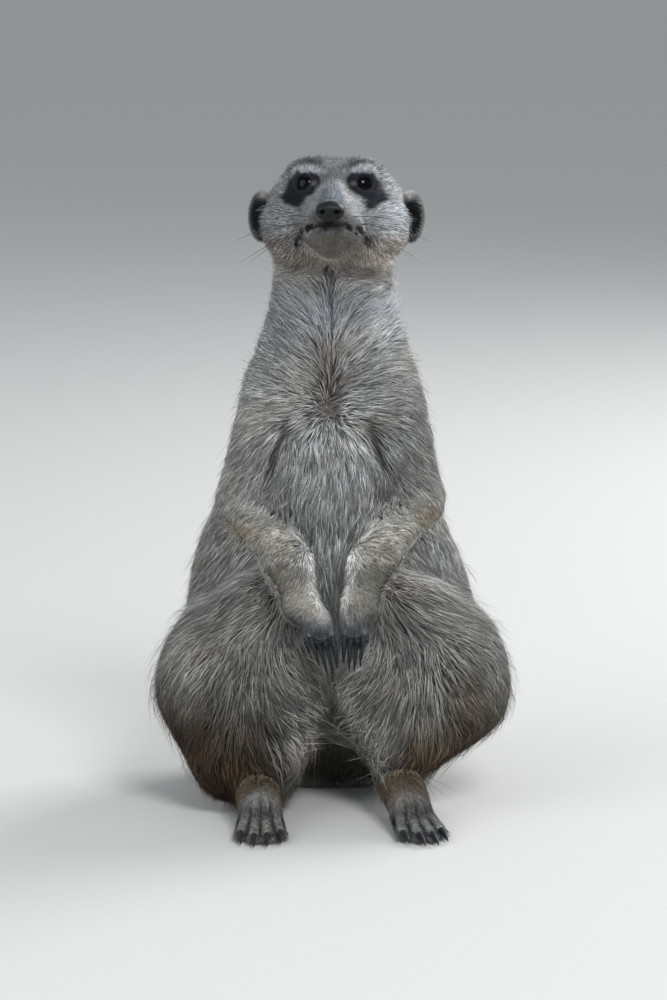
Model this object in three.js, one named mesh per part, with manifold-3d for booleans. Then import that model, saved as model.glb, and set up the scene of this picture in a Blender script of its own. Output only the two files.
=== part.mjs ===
// A meerkat sitting upright on its rump, at life size, in millimetres, +Z up.
// It faces -Y, its own left side is at +X, and the floor is z = 0. The origin is the
// middle of the flat on which the rump rests. Every solid reaches the tips of the coat.
//
// The body is a handful of distance fields (round cones, ellipsoids and one trunk
// profile) that are blended, turned into closed meshes on a grid, and then parted into
// head, neck, chest, belly, rump, limbs and tail by thin cuts.

import * as THREE from "three";
import { edgeTable, triTable } from "three/addons/objects/MarchingCubes.js";
import { mergeVertices } from "three/addons/utils/BufferGeometryUtils.js";
import Module from "manifold-3d";

const wasm = await Module();
wasm.setup();

// ---------------------------------------------------------------- driving dimensions

const GAP = 0.3;                  // clear space between neighbouring solids
const ROOM = 0.6;                 // how much larger a shape is when it clears its neighbours
const FLOOR = 0;                  // height of all the resting flats
const BLOCK = 600;                // edge of a cutting block, longer than the animal

const TRUNK_SIDES = 26;           // facets round the trunk
const TAIL_SIDES = 10;
const HEAD_STEP = 5.6;            // grid steps of the solids that are made on a grid
const ARM_STEP = 6.4;
const HAND_STEP = 3.4;
const LEG_STEP = 8.5;
const FOOT_STEP = 4.3;

// how softly one shape flows into the next
const TRUNK_BLEND = 9;
const HEAD_BLEND = 6;
const LIMB_BLEND = 7;
const FOLD_BLEND = 14;
const ANKLE_BLEND = 4;
const WRIST_BLEND = 4;
const TOE_BLEND = 2.2;

// trunk stations: height, half width, front y, back y, middle x
const TRUNK = [
  [0, 37, -7, 40, 0],
  [12, 45, -14, 47, 0],
  [30, 51, -20, 51, 0],
  [50, 55, -25, 53, 0],
  [70, 57, -28, 51, -1],
  [90, 53, -30, 45.5, -2.5],
  [105, 47, -30, 39, -3],
  [122, 41, -30, 35, -1.5],
  [138, 38, -30, 32, 0],
  [150, 36, -29.5, 30, 0],
  [160, 34, -28, 28, 0],
  [172, 31, -25, 25.5, 0],
  [182, 28, -22, 23.5, 0],
  [192, 25.2, -20, 22, 0],
  [203, 23.8, -19, 21.5, 0],
  [214, 24, -18, 20, 0],
  [224, 23, -16, 18.5, 0],
  [236, 17, -14, 12, 0],
];
const RUMP_TOP = 62;              // heights where the trunk is parted
const BELLY_TOP = 119;
const CHEST_TOP = 179;

const HEAD_ORIGIN = [0.2, -27, 240.2];             // midway between the eyes
const HEAD_PITCH = THREE.MathUtils.degToRad(13);   // nose up
const HEAD_YAW = THREE.MathUtils.degToRad(3);      // nose towards -X

// in the head's own frame: side, forward, up
const EYE_FRONT = [12, 0.4, 0];
const EYE_LOOK = [0.42, 0.9, 0.1];
const EYE_RADIUS = 5.2;
const ORBIT = { reach: 14, wide: 9.2, narrow: 2.4, sides: 12 };   // the opening before an eye
const EAR_MIDDLE = [28.2, -21, -10];
const EAR_RADII = [5.4, 7.4, 10];
const EAR_CUP = { offset: [1.6, 7.6, -0.8], radii: [3, 4, 6.2] };
const NOSE_MIDDLE = [0, 25.6, -14.4];
const NOSE_RADII = [5.2, 4, 4.2];
const NOSTRIL = { offset: [2.6, 3.6, -0.5], radii: [1.2, 1.5, 0.9] };
const MOUTH_HEIGHT = -19.5;
const MOUTH_TILT = -0.06;         // the mouth line falls this much for each mm backwards
const JAW_BACK = 0;

// limbs: [x, y, z, radius] along each bone, x positive on its own side
const ARM = [[21, 0, 160, 13], [33, -9, 117, 11]];
const FOREARM = [[32, -13, 115, 10.4], [16, -37, 97.5, 7.6], [10.6, -45, 82, 6.7]];
const ARM_SHIFT = -1.2;           // both arms stand a little to the right
const HANDS = {
  "-1": { palm: [-5.4, -50, 75.5], spread: 2.9, clawLean: 0.4 },
  "1": { palm: [7.2, -48, 76], spread: 2.6, clawLean: -0.2 },
};
const WRIST_RADIUS = 5.7;
const FINGER_RADIUS = 1.8;
const FINGER_DROP = 6;
const THIGH = [[22, 8, 44, 29], [45, -27, 48, 23.5]];
const LAP = [[18, -23, 52, 22], [43, -30, 46, 23]];
const FOLD = [[13, -26, 88, 9.5], [31, -25, 75, 13.5], [48, -11, 60, 16]];
const LEG_SIDES = {
  "-1": {
    shank: [[44, -30, 44, 23], [40, -39, 22, 17.5]],
    calf: [[17, -30, 42, 18], [24, -40, 19, 14]],
    heel: [-29, -50, 10.5, 9],
    instep: [-27.5, -69, 8, 8.2],
    heading: 0.02,
  },
  "1": {
    shank: [[43, -30, 46, 23], [34, -38, 32, 17]],
    calf: [[16, -30, 42, 18], [24, -39, 23, 13.5]],
    heel: [26, -50, 12, 9],
    instep: [29, -68, 8, 8.2],
    heading: 0.27,
  },
};
const TOE_RADIUS = 3.1;
const TOE_SPREAD = 4.9;
const TOE_LENGTHS = [13.5, 17.5, 18, 14];
const DIGITS = 4;

const CLAW_POINT = 0.3;           // radius of a claw's tip
const FORE_CLAW = { reaches: [10.8, 12.2, 12.6, 11.4], thickness: 1.05, curl: 1.9, spread: 0.06 };
const HIND_CLAW = { reach: 8.5, thickness: 1.3, curl: 3, rise: 0.05 };

// tail: [x, y, z, radius], lying on the floor behind the rump
const TAIL = [
  [0, 36, 15, 14], [2, 58, 9.5, 10.5], [7, 88, 7.4, 8.4], [11, 115, 6.6, 7.6],
  [12.5, 140, 6.1, 7.1], [11.5, 165, 5.5, 6.5], [6, 190, 4.9, 5.9], [-3, 212, 4.1, 5.1],
  [-11, 228, 2.8, 3.6],
];

// ---------------------------------------------------------------- small vector helpers

const length = (v) => Math.hypot(v[0], v[1], v[2]);
const minus = (a, b) => [a[0] - b[0], a[1] - b[1], a[2] - b[2]];
const plus = (a, b, k = 1) => [a[0] + b[0] * k, a[1] + b[1] * k, a[2] + b[2] * k];
const dot = (a, b) => a[0] * b[0] + a[1] * b[1] + a[2] * b[2];
const unit = (v) => plus([0, 0, 0], v, 1 / length(v));
const mix = (a, b, t) => a + (b - a) * t;
const onSide = (v, side) => [v[0] * side, v[1], v[2]];

// ---------------------------------------------------------------- distance fields

function blend(a, b, k) {
  const h = Math.max(k - Math.abs(a - b), 0) / k;
  return Math.min(a, b) - h * h * k * 0.25;
}

// a with b taken out of it
const carve = (a, b, k) => -blend(-a, b, k);

function ellipsoid(p, middle, radii) {
  const d = minus(p, middle);
  const near = Math.hypot(d[0] / radii[0], d[1] / radii[1], d[2] / radii[2]);
  const slope = Math.hypot(d[0] / radii[0] ** 2, d[1] / radii[1] ** 2, d[2] / radii[2] ** 2);
  return slope < 1e-9 ? -Math.min(...radii) : (near * (near - 1)) / slope;
}

function roundCone(p, a, b, radiusA, radiusB) {
  const along = minus(b, a);
  const t = THREE.MathUtils.clamp(dot(minus(p, a), along) / dot(along, along), 0, 1);
  return length(minus(p, plus(a, along, t))) - mix(radiusA, radiusB, t);
}

// a chain of round cones through [x, y, z, radius] knots
function chain(p, knots, k) {
  let d = Infinity;
  for (let i = 1; i < knots.length; i += 1) {
    const cone = roundCone(p, knots[i - 1], knots[i], knots[i - 1][3], knots[i][3]);
    d = i === 1 ? cone : blend(d, cone, k);
  }
  return d;
}

// a smooth value between the stations of a table, whose first column is the height
function station(table, z, column) {
  const last = table.length - 1;
  if (z <= table[0][0]) return table[0][column];
  if (z >= table[last][0]) return table[last][column];
  let i = 0;
  while (table[i + 1][0] < z) i += 1;
  const slopeAt = (j) => {
    const before = table[Math.max(j - 1, 0)];
    const after = table[Math.min(j + 1, last)];
    return (after[column] - before[column]) / (after[0] - before[0]);
  };
  const [low, high] = [table[i], table[i + 1]];
  const span = high[0] - low[0];
  const t = (z - low[0]) / span;
  return low[column] * (2 * t ** 3 - 3 * t ** 2 + 1) + high[column] * (3 * t ** 2 - 2 * t ** 3)
    + slopeAt(i) * span * (t ** 3 - 2 * t ** 2 + t) + slopeAt(i + 1) * span * (t ** 3 - t ** 2);
}

function trunkField(p) {
  const halfWidth = station(TRUNK, p[2], 1);
  const front = station(TRUNK, p[2], 2);
  const back = station(TRUNK, p[2], 3);
  const halfDepth = (back - front) / 2;
  const dx = p[0] - station(TRUNK, p[2], 4);
  const dy = p[1] - (back + front) / 2;
  const near = Math.hypot(dx / halfWidth, dy / halfDepth);
  const slope = Math.hypot(dx / halfWidth ** 2, dy / halfDepth ** 2);
  const ring = slope < 1e-9 ? -halfDepth : (near * (near - 1)) / slope;
  return Math.max(ring, p[2] - TRUNK[TRUNK.length - 1][0]);
}

// the head's own axes: side (+X), forward (towards the nose) and up
const HEAD_FORWARD = [
  -Math.sin(HEAD_YAW) * Math.cos(HEAD_PITCH),
  -Math.cos(HEAD_YAW) * Math.cos(HEAD_PITCH),
  Math.sin(HEAD_PITCH),
];
const HEAD_SIDE = [Math.cos(HEAD_YAW), -Math.sin(HEAD_YAW), 0];
const HEAD_UP = [
  Math.sin(HEAD_YAW) * Math.sin(HEAD_PITCH),
  Math.cos(HEAD_YAW) * Math.sin(HEAD_PITCH),
  Math.cos(HEAD_PITCH),
];

function toHead(p) {
  const d = minus(p, HEAD_ORIGIN);
  return [dot(d, HEAD_SIDE), dot(d, HEAD_FORWARD), dot(d, HEAD_UP)];
}

function fromHead(q) {
  return plus(plus(plus(HEAD_ORIGIN, HEAD_SIDE, q[0]), HEAD_FORWARD, q[1]), HEAD_UP, q[2]);
}

function headField(p) {
  const q = toHead(p);
  const half = [Math.abs(q[0]), q[1], q[2]];
  let d = ellipsoid(q, [0, -18, -7], [26.5, 22, 20.4]);                          // cranium
  d = blend(d, ellipsoid(half, [15.5, -13.5, -16], [13, 15, 13.5]), HEAD_BLEND);   // cheeks
  d = blend(d, roundCone(q, [0, -4, -12], [0, 20, -17.6], 14, 7.4), HEAD_BLEND);   // muzzle
  d = blend(d, roundCone(q, [0, -2, -3.6], [0, 22, -13.2], 8, 4.4), HEAD_BLEND);   // bridge
  d = blend(d, ellipsoid(half, [6.2, 11.5, -19.5], [6.6, 9.5, 5.6]), 4);           // lips
  d = blend(d, roundCone(q, [0, -6, -20], [0, 13.5, -24.2], 10.5, 5.4), HEAD_BLEND); // chin
  d = carve(d, ellipsoid(half, [13, 5.6, -0.6], [6.6, 6, 5]), 4);                  // orbits
  d = blend(d, ellipsoid(half, [10.8, -8, 5.6], [8.2, 8.4, 5.2]), HEAD_BLEND);     // brows
  return carve(d, ellipsoid(q, [0, -14, 17.4], [4.5, 20, 4.5]), 5);                // crown's dip
}

const coreField = (p) => blend(trunkField(p), headField(p), TRUNK_BLEND);

// the knots of one finger or toe, a little stouter at its root
function digit(root, tip, radius) {
  return [[...root, radius * 1.1], [...tip, radius]];
}

// the place of a finger or toe from the middle of its row: -1.5, -0.5, 0.5 and 1.5
const fromMiddle = (i) => i - (DIGITS - 1) / 2;

function fingers(side) {
  const { palm, spread } = HANDS[side];
  return Array.from({ length: DIGITS }, (_, i) => {
    const across = fromMiddle(i) * spread;
    const root = plus(palm, [across, -1.5, -3]);
    const tip = plus(palm, [across * 0.96 + 0.8, -3.4, Math.abs(across) * 0.35 - FINGER_DROP]);
    return digit(root, tip, FINGER_RADIUS);
  });
}

function toes(side) {
  const { instep, heading } = LEG_SIDES[side];
  const forward = [Math.sin(heading), -Math.cos(heading), 0];
  const across = [Math.cos(heading), Math.sin(heading), 0];
  return TOE_LENGTHS.map((reach, i) => {
    const offset = fromMiddle(i) * TOE_SPREAD * side;
    const root = plus(plus(instep, across, offset * 0.72), forward, 2);
    const tip = plus(plus(instep, across, offset), forward, reach);
    root[2] = 5.6;
    tip[2] = TOE_RADIUS - 0.7;
    return digit(root, tip, TOE_RADIUS);
  });
}

function armField(p, side) {
  const own = onSide(minus(p, [ARM_SHIFT, 0, 0]), side);
  const wrist = plus(onSide(FOREARM[2], side), [ARM_SHIFT, 0, 0]);
  const arm = blend(chain(own, ARM, LIMB_BLEND), chain(own, FOREARM, LIMB_BLEND), LIMB_BLEND);
  let hand = roundCone(p, wrist, HANDS[side].palm, FOREARM[2][3], WRIST_RADIUS);
  for (const knots of fingers(side)) hand = blend(hand, chain(p, knots, TOE_BLEND), TOE_BLEND);
  return blend(arm, hand, WRIST_BLEND);
}

function legField(p, side) {
  const own = onSide(p, side);
  const { shank, calf, heel, instep } = LEG_SIDES[side];
  let haunch = blend(chain(own, THIGH, LIMB_BLEND), chain(own, LAP, LIMB_BLEND), LIMB_BLEND);
  for (const knots of [shank, calf]) {
    haunch = blend(haunch, chain(own, knots, LIMB_BLEND), LIMB_BLEND);
  }
  haunch = blend(haunch, chain(own, FOLD, LIMB_BLEND), FOLD_BLEND);
  let foot = chain(p, [heel, instep], ANKLE_BLEND);
  for (const knots of toes(side)) foot = blend(foot, chain(p, knots, TOE_BLEND), TOE_BLEND);
  return blend(haunch, foot, ANKLE_BLEND);
}

// ---------------------------------------------------------------- fields to closed solids

const CORNERS = [
  [0, 0, 0], [1, 0, 0], [1, 1, 0], [0, 1, 0], [0, 0, 1], [1, 0, 1], [1, 1, 1], [0, 1, 1],
];
const EDGES = [
  [0, 1], [1, 2], [2, 3], [3, 0], [4, 5], [5, 6], [6, 7], [7, 4], [0, 4], [1, 5], [2, 6], [3, 7],
];
const EDGE_MARGIN = 0.04;         // keeps corners off the grid points, so no face is a sliver

// marching cubes over a box: the level where field(p) = level, closed inside the box
function surface(field, low, high, step, level = 0) {
  const count = low.map((value, axis) => Math.ceil((high[axis] - value) / step) + 1);
  const at = (i, j, k) => [low[0] + i * step, low[1] + j * step, low[2] + k * step];
  const index = (i, j, k) => (k * count[1] + j) * count[0] + i;
  const values = new Float64Array(count[0] * count[1] * count[2]);
  for (let k = 0; k < count[2]; k += 1) {
    for (let j = 0; j < count[1]; j += 1) {
      for (let i = 0; i < count[0]; i += 1) {
        const rim = [i, j, k].some((n, axis) => n === 0 || n === count[axis] - 1);
        values[index(i, j, k)] = rim ? Math.max(field(at(i, j, k)) - level, step * 0.5)
          : field(at(i, j, k)) - level;
      }
    }
  }
  const positions = [];
  const triangles = [];
  const known = new Map();
  const corner = (i, j, k, edge) => {
    const [a, b] = EDGES[edge].map((n) => CORNERS[n].map((c, axis) => c + [i, j, k][axis]));
    const [ia, ib] = [index(...a), index(...b)];
    const key = ia < ib ? `${ia}_${ib}` : `${ib}_${ia}`;
    if (!known.has(key)) {
      const t = THREE.MathUtils.clamp(values[ia] / (values[ia] - values[ib]), EDGE_MARGIN,
        1 - EDGE_MARGIN);
      const [pa, pb] = [at(...a), at(...b)];
      known.set(key, positions.length / 3);
      positions.push(mix(pa[0], pb[0], t), mix(pa[1], pb[1], t), mix(pa[2], pb[2], t));
    }
    return known.get(key);
  };
  for (let k = 0; k < count[2] - 1; k += 1) {
    for (let j = 0; j < count[1] - 1; j += 1) {
      for (let i = 0; i < count[0] - 1; i += 1) {
        let inside = 0;
        CORNERS.forEach((c, n) => {
          if (values[index(i + c[0], j + c[1], k + c[2])] < 0) inside |= 1 << n;
        });
        if (edgeTable[inside] === 0) continue;
        for (let n = inside * 16; triTable[n] !== -1; n += 3) {
          triangles.push(corner(i, j, k, triTable[n]), corner(i, j, k, triTable[n + 2]),
            corner(i, j, k, triTable[n + 1]));
        }
      }
    }
  }
  return solidFrom(positions, triangles);
}

// a closed solid through rings of equal count, each ring counter-clockwise seen from its end
function loft(rings) {
  const sides = rings[0].length;
  const positions = rings.flat(2);
  const triangles = [];
  for (let r = 0; r < rings.length - 1; r += 1) {
    for (let i = 0; i < sides; i += 1) {
      const [a, b] = [r * sides + i, r * sides + ((i + 1) % sides)];
      triangles.push(a, b, b + sides, a, b + sides, a + sides);
    }
  }
  const top = (rings.length - 1) * sides;
  for (let i = 1; i < sides - 1; i += 1) {
    triangles.push(0, i + 1, i, top, top + i, top + i + 1);
  }
  return solidFrom(positions, triangles);
}

function solidFrom(positions, triangles) {
  return new wasm.Manifold(new wasm.Mesh({
    numProp: 3,
    vertProperties: new Float32Array(positions),
    triVerts: new Uint32Array(triangles),
  }));
}

function solidOf(geometry) {
  const bare = geometry.clone();
  bare.deleteAttribute("normal");
  bare.deleteAttribute("uv");
  const merged = mergeVertices(bare, 1e-4);
  return solidFrom(merged.attributes.position.array, merged.index.array);
}

// everything on the far side of a plane through `point`, towards `normal`, moved by `shift`
function halfSpace(point, normal, shift = 0) {
  const block = new THREE.BoxGeometry(BLOCK, BLOCK, BLOCK);
  block.translate(0, 0, BLOCK / 2);
  const axis = new THREE.Vector3(...unit(normal));
  block.applyQuaternion(new THREE.Quaternion().setFromUnitVectors(new THREE.Vector3(0, 0, 1), axis));
  block.translate(...plus(point, unit(normal), shift));
  return solidOf(block);
}

const back = (normal) => normal.map((n) => -n);
const beyond = (solid, cut) => solid.intersect(halfSpace(cut.point, cut.normal, GAP / 2));
const before = (solid, cut) => solid.intersect(halfSpace(cut.point, back(cut.normal), GAP / 2));
const aboveFloor = (solid) => solid.intersect(halfSpace([0, 0, FLOOR], [0, 0, 1]));

// the largest single piece, so that no crumb of a cut stays in a node
function mainPiece(solid) {
  const pieces = solid.decompose();
  return pieces.reduce((best, piece) => (piece.volume() > best.volume() ? piece : best));
}

// ---------------------------------------------------------------- finishes and nodes

const meerkat = new THREE.Group();

function finish(color, roughness) {
  return new THREE.MeshStandardMaterial({ color, roughness, metalness: 0 });
}

const COAT = finish(0x8a857c, 0.95);
const PALE_COAT = finish(0xb4b3b0, 0.95);
const LEG_COAT = finish(0x6d5c4c, 0.95);
const FOOT_COAT = finish(0x8a7d6c, 0.9);
const DARK_COAT = finish(0x2b2d30, 0.9);
const EYE = finish(0x16110e, 0.15);
const NOSE = finish(0x33343a, 0.5);
const CLAW = finish(0x26262a, 0.4);

function addNode(name, solid, material) {
  const mesh = mainPiece(solid).getMesh();
  const geometry = new THREE.BufferGeometry();
  geometry.setAttribute("position", new THREE.BufferAttribute(mesh.vertProperties, 3));
  geometry.setIndex(new THREE.BufferAttribute(mesh.triVerts, 1));
  const node = new THREE.Mesh(geometry, material);
  node.name = name;
  meerkat.add(node);
}

const sideName = (side) => (side > 0 ? "left" : "right");

// ---------------------------------------------------------------- the core of the body

const HEAD_CUT = { point: [0, 0, 215], normal: [0, -0.27, 1] };
const RING_SPACING = 15;          // largest height of a band of facets on the trunk
const TRUNK_TOP = TRUNK[TRUNK.length - 1][0];

function trunkRing(z, grow) {
  const front = station(TRUNK, z, 2) - grow;
  const rear = station(TRUNK, z, 3) + grow;
  const halfWidth = station(TRUNK, z, 1) + grow;
  return Array.from({ length: TRUNK_SIDES }, (_, i) => {
    const turn = (i / TRUNK_SIDES) * 2 * Math.PI;
    return [
      station(TRUNK, z, 4) + halfWidth * Math.cos(turn),
      (front + rear) / 2 + ((rear - front) / 2) * Math.sin(turn),
      z,
    ];
  });
}

function trunkPiece(low, high, grow = 0) {
  const bands = Math.ceil((high - low) / RING_SPACING);
  return loft(Array.from({ length: bands + 1 }, (_, i) => (
    trunkRing(mix(low, high, i / bands), grow))));
}

const headGrid = (level) => surface(coreField, [-38, -64, 196], [38, 34, 262], HEAD_STEP, level);
const trunkRoom = trunkPiece(-1, TRUNK_TOP, ROOM);
const headAndNape = headGrid(0);

// eyes, each a ball that looks a little outwards
function eyeMiddle(side) {
  return fromHead(plus(onSide(EYE_FRONT, side), unit(onSide(EYE_LOOK, side)), -EYE_RADIUS));
}

function ball(middle, radius, segments, rings) {
  return solidOf(new THREE.SphereGeometry(radius, segments, rings).translate(...middle));
}

// the opening in front of an eye, widening towards the brow and the cheek
function orbit(side) {
  const middle = eyeMiddle(side);
  const look = unit(minus(fromHead(onSide(EYE_FRONT, side)), middle));
  const cone = new THREE.CylinderGeometry(ORBIT.wide, ORBIT.narrow, ORBIT.reach, ORBIT.sides, 1);
  cone.applyQuaternion(new THREE.Quaternion().setFromUnitVectors(
    new THREE.Vector3(0, 1, 0), new THREE.Vector3(...look)));
  cone.translate(...plus(middle, look, ORBIT.reach / 2 + ROOM));
  return solidOf(cone).add(ball(middle, EYE_RADIUS + ROOM, 12, 9));
}

let head = beyond(headAndNape, HEAD_CUT);
for (const side of [-1, 1]) {
  head = head.subtract(orbit(side));
  addNode(`eye_${sideName(side)}`, ball(eyeMiddle(side), EYE_RADIUS, 12, 8), EYE);
}

// nose pad, with two nostrils
function headEllipsoid(middle, radii, segments, rings, grow = 0) {
  const shape = new THREE.SphereGeometry(1, segments, rings);
  shape.scale(radii[0] + grow, radii[1] + grow, radii[2] + grow);
  const turn = new THREE.Matrix4().makeBasis(
    new THREE.Vector3(...HEAD_SIDE), new THREE.Vector3(...back(HEAD_FORWARD)),
    new THREE.Vector3(...HEAD_UP));
  shape.applyMatrix4(turn);
  shape.translate(...fromHead(middle));
  return solidOf(shape);
}

let nose = headEllipsoid(NOSE_MIDDLE, NOSE_RADII, 10, 8);
for (const side of [-1, 1]) {
  const nostril = plus(NOSE_MIDDLE, onSide(NOSTRIL.offset, side));
  nose = nose.subtract(headEllipsoid(nostril, NOSTRIL.radii, 6, 5));
}
addNode("nose", nose, NOSE);
head = head.subtract(headEllipsoid(NOSE_MIDDLE, NOSE_RADII, 10, 8, GAP));

// lower jaw, parted along the mouth line and behind its corner
const mouthCut = {
  point: fromHead([0, 0, MOUTH_HEIGHT]),
  normal: plus(HEAD_UP, HEAD_FORWARD, MOUTH_TILT),
};
const jawCut = { point: fromHead([0, JAW_BACK, MOUTH_HEIGHT]), normal: HEAD_FORWARD };
const jaw = beyond(before(head, mouthCut), jawCut);
const jawRoom = halfSpace(mouthCut.point, back(mouthCut.normal), -GAP / 2)
  .intersect(halfSpace(jawCut.point, jawCut.normal, -GAP / 2));
head = head.subtract(jawRoom);
addNode("head", head, PALE_COAT);
addNode("jaw", jaw, PALE_COAT);

// ears: low crescents on the sides of the head, cupped in front
for (const side of [-1, 1]) {
  const middle = onSide(EAR_MIDDLE, side);
  const cup = plus(middle, onSide(EAR_CUP.offset, side));
  const ear = headEllipsoid(middle, EAR_RADII, 10, 8)
    .subtract(headEllipsoid(cup, EAR_CUP.radii, 8, 6))
    .subtract(headGrid(ROOM));
  addNode(`ear_${sideName(side)}`, ear, DARK_COAT);
}

addNode("neck", before(trunkPiece(CHEST_TOP + GAP / 2, TRUNK_TOP), HEAD_CUT), PALE_COAT);
addNode("chest", trunkPiece(BELLY_TOP + GAP / 2, CHEST_TOP - GAP / 2), COAT);
addNode("belly", trunkPiece(RUMP_TOP + GAP / 2, BELLY_TOP - GAP / 2), COAT);
addNode("rump", trunkPiece(FLOOR, RUMP_TOP - GAP / 2), COAT);

// ---------------------------------------------------------------- hind legs

// the plane in which the fur of both thighs meets
const SEAM = { point: [-4, 0, 45], normal: [1, 0, 0.12] };

function legGrid(side, step, low, high, level) {
  const box = [low, high].map((corner) => onSide(corner, side));
  const least = box[0].map((value, axis) => Math.min(value, box[1][axis]));
  const most = box[0].map((value, axis) => Math.max(value, box[1][axis]));
  return surface((p) => legField(p, side), least, most, step, level);
}

// boxes on the left side that hold one leg and one foot
const LEG_BOX = [[-10, -100, -8], [78, 44, 100]];
const FOOT_BOX = [[8, -102, -5], [60, -36, 34]];

const legRoom = {};
const footRoom = {};
for (const side of [-1, 1]) {
  const name = sideName(side);
  const keepSide = side > 0 ? beyond : before;
  const whole = legGrid(side, LEG_STEP, ...LEG_BOX, 0);
  legRoom[side] = legGrid(side, LEG_STEP, ...LEG_BOX, ROOM);
  const fine = legGrid(side, FOOT_STEP, ...FOOT_BOX, 0);
  footRoom[side] = legGrid(side, FOOT_STEP, ...FOOT_BOX, ROOM);
  const knee = LEG_SIDES[side].shank[0];
  const kneeCut = { point: onSide([knee[0], knee[1], 40], side), normal: [0, 0.35, 1] };
  const heel = LEG_SIDES[side].heel;
  const ankleCut = { point: [heel[0], heel[1] - 6, 14], normal: [0, 0.8, 0.7] };
  const leg = keepSide(aboveFloor(whole), SEAM).subtract(trunkRoom);
  const shank = before(beyond(leg, ankleCut), kneeCut);
  const foot = before(aboveFloor(fine), ankleCut);
  addNode(`thigh_${name}`, beyond(beyond(leg, ankleCut), kneeCut), COAT);
  addNode(`shank_${name}`, shank, LEG_COAT);
  addNode(`foot_${name}`, foot, FOOT_COAT);
}

// ---------------------------------------------------------------- arms and hands

// boxes that hold one arm and one hand, the plane between the hands, and where arms are parted
const ARM_BOX = { "-1": [[-54, -66, 48], [22, 20, 180]], "1": [[-6, -66, 48], [54, 20, 180]] };
const HAND_TOP = 92;
const APART = { point: [1.4, 0, 70], normal: [1, 0, 0] };
const ELBOW = [35, -10, 112];
const WRIST = [9, -45, 80];

const handRoom = {};
for (const side of [-1, 1]) {
  const name = sideName(side);
  const field = (p) => armField(p, side);
  const [low, high] = ARM_BOX[side];
  const keepSide = side > 0 ? beyond : before;
  const clear = (solid) => keepSide(solid, APART).subtract(trunkRoom)
    .subtract(legRoom[1]).subtract(legRoom[-1]);
  const arm = clear(surface(field, low, high, ARM_STEP));
  const fine = clear(surface(field, low, [high[0], high[1], HAND_TOP], HAND_STEP));
  handRoom[side] = surface(field, low, [high[0], high[1], HAND_TOP], HAND_STEP, ROOM);
  const elbowCut = { point: onSide(ELBOW, side), normal: [0.15 * side, 0.85, 0.5] };
  const wristCut = { point: onSide(WRIST, side), normal: [0.15 * side, 0.1, 1] };
  addNode(`upper_arm_${name}`, beyond(arm, elbowCut), COAT);
  addNode(`forearm_${name}`, beyond(before(arm, elbowCut), wristCut), PALE_COAT);
  addNode(`hand_${name}`, before(fine, wristCut), FOOT_COAT);
}

// ---------------------------------------------------------------- tail

// a ring of the tail at a knot, square to the line between the knots beside it
function tailRing(i) {
  const ahead = unit(minus(TAIL[Math.min(i + 1, TAIL.length - 1)], TAIL[Math.max(i - 1, 0)]));
  const across = unit([ahead[1], -ahead[0], 0]);
  const over = new THREE.Vector3(...ahead).cross(new THREE.Vector3(...across)).toArray();
  return Array.from({ length: TAIL_SIDES }, (_, n) => {
    const turn = ((n + 0.5) / TAIL_SIDES) * 2 * Math.PI;
    const radius = TAIL[i][3];
    return plus(plus(TAIL[i], across, radius * Math.cos(turn)), over, radius * Math.sin(turn));
  });
}

const tail = aboveFloor(loft(TAIL.map((_, i) => tailRing(i))))
  .subtract(trunkRoom);
const TAIL_CUTS = [
  { point: TAIL[2].slice(0, 3), normal: [0.15, 1, 0] },
  { point: TAIL[4].slice(0, 3), normal: [-0.1, 1, 0] },
];
addNode("tail_base", before(tail, TAIL_CUTS[0]), COAT);
addNode("tail_middle", before(beyond(tail, TAIL_CUTS[0]), TAIL_CUTS[1]), COAT);
addNode("tail_tip", beyond(tail, TAIL_CUTS[1]), DARK_COAT);

// ---------------------------------------------------------------- claws

// a claw of round section that leaves `root` along `heading` and curls towards the floor
function claw(root, heading, reach, thickness, curl) {
  const shape = new THREE.CylinderGeometry(CLAW_POINT, thickness, reach, 5, 2);
  const place = shape.attributes.position;
  const ahead = new THREE.Vector3(...unit(heading));
  const across = new THREE.Vector3(ahead.y, -ahead.x, 0).normalize();
  const over = new THREE.Vector3().crossVectors(across, ahead).normalize();
  for (let i = 0; i < place.count; i += 1) {
    const run = place.getY(i) + reach / 2;
    const bend = curl * (run / reach) ** 2;
    const p = new THREE.Vector3(...root)
      .addScaledVector(ahead, run)
      .addScaledVector(over, place.getZ(i) * 1.2 - bend)
      .addScaledVector(across, place.getX(i));
    place.setXYZ(i, p.x, p.y, p.z);
  }
  return solidOf(shape);
}

for (const side of [-1, 1]) {
  const { heading } = LEG_SIDES[side];
  const ahead = [Math.sin(heading), -Math.cos(heading), 0];
  toes(side).forEach(([, tip], i) => {
    const root = plus(plus(tip, ahead, TOE_RADIUS - 1.1), [0, 0, 1.5]);
    const way = plus(ahead, [0, 0, HIND_CLAW.rise]);
    const nail = claw(root, way, HIND_CLAW.reach, HIND_CLAW.thickness, HIND_CLAW.curl);
    addNode(`claw_hind_${sideName(side)}_${i + 1}`, nail.subtract(footRoom[side]), CLAW);
  });
  fingers(side).forEach(([, tip], i) => {
    const root = plus(tip, [0, -1, -0.4]);
    const way = [HANDS[side].clawLean - FORE_CLAW.spread * fromMiddle(i), -0.2, -1];
    const nail = claw(root, way, FORE_CLAW.reaches[i], FORE_CLAW.thickness, FORE_CLAW.curl)
      .subtract(handRoom[1]).subtract(handRoom[-1]);
    addNode(`claw_fore_${sideName(side)}_${i + 1}`, nail, CLAW);
  });
}

export default meerkat;
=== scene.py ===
"""A meerkat sitting upright on its rump, in metres, facing -Y, as a still museum model.

One skin is meshed from the same distance fields as the solids, set in by the coat's depth.
Tufts of hair, each a thin closed spike, are rooted on it and follow the lie of the coat.
Lengths in the numbers below are millimetres; MM turns them into metres in the meshes.
"""
from math import cos, pi, radians, sin

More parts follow.
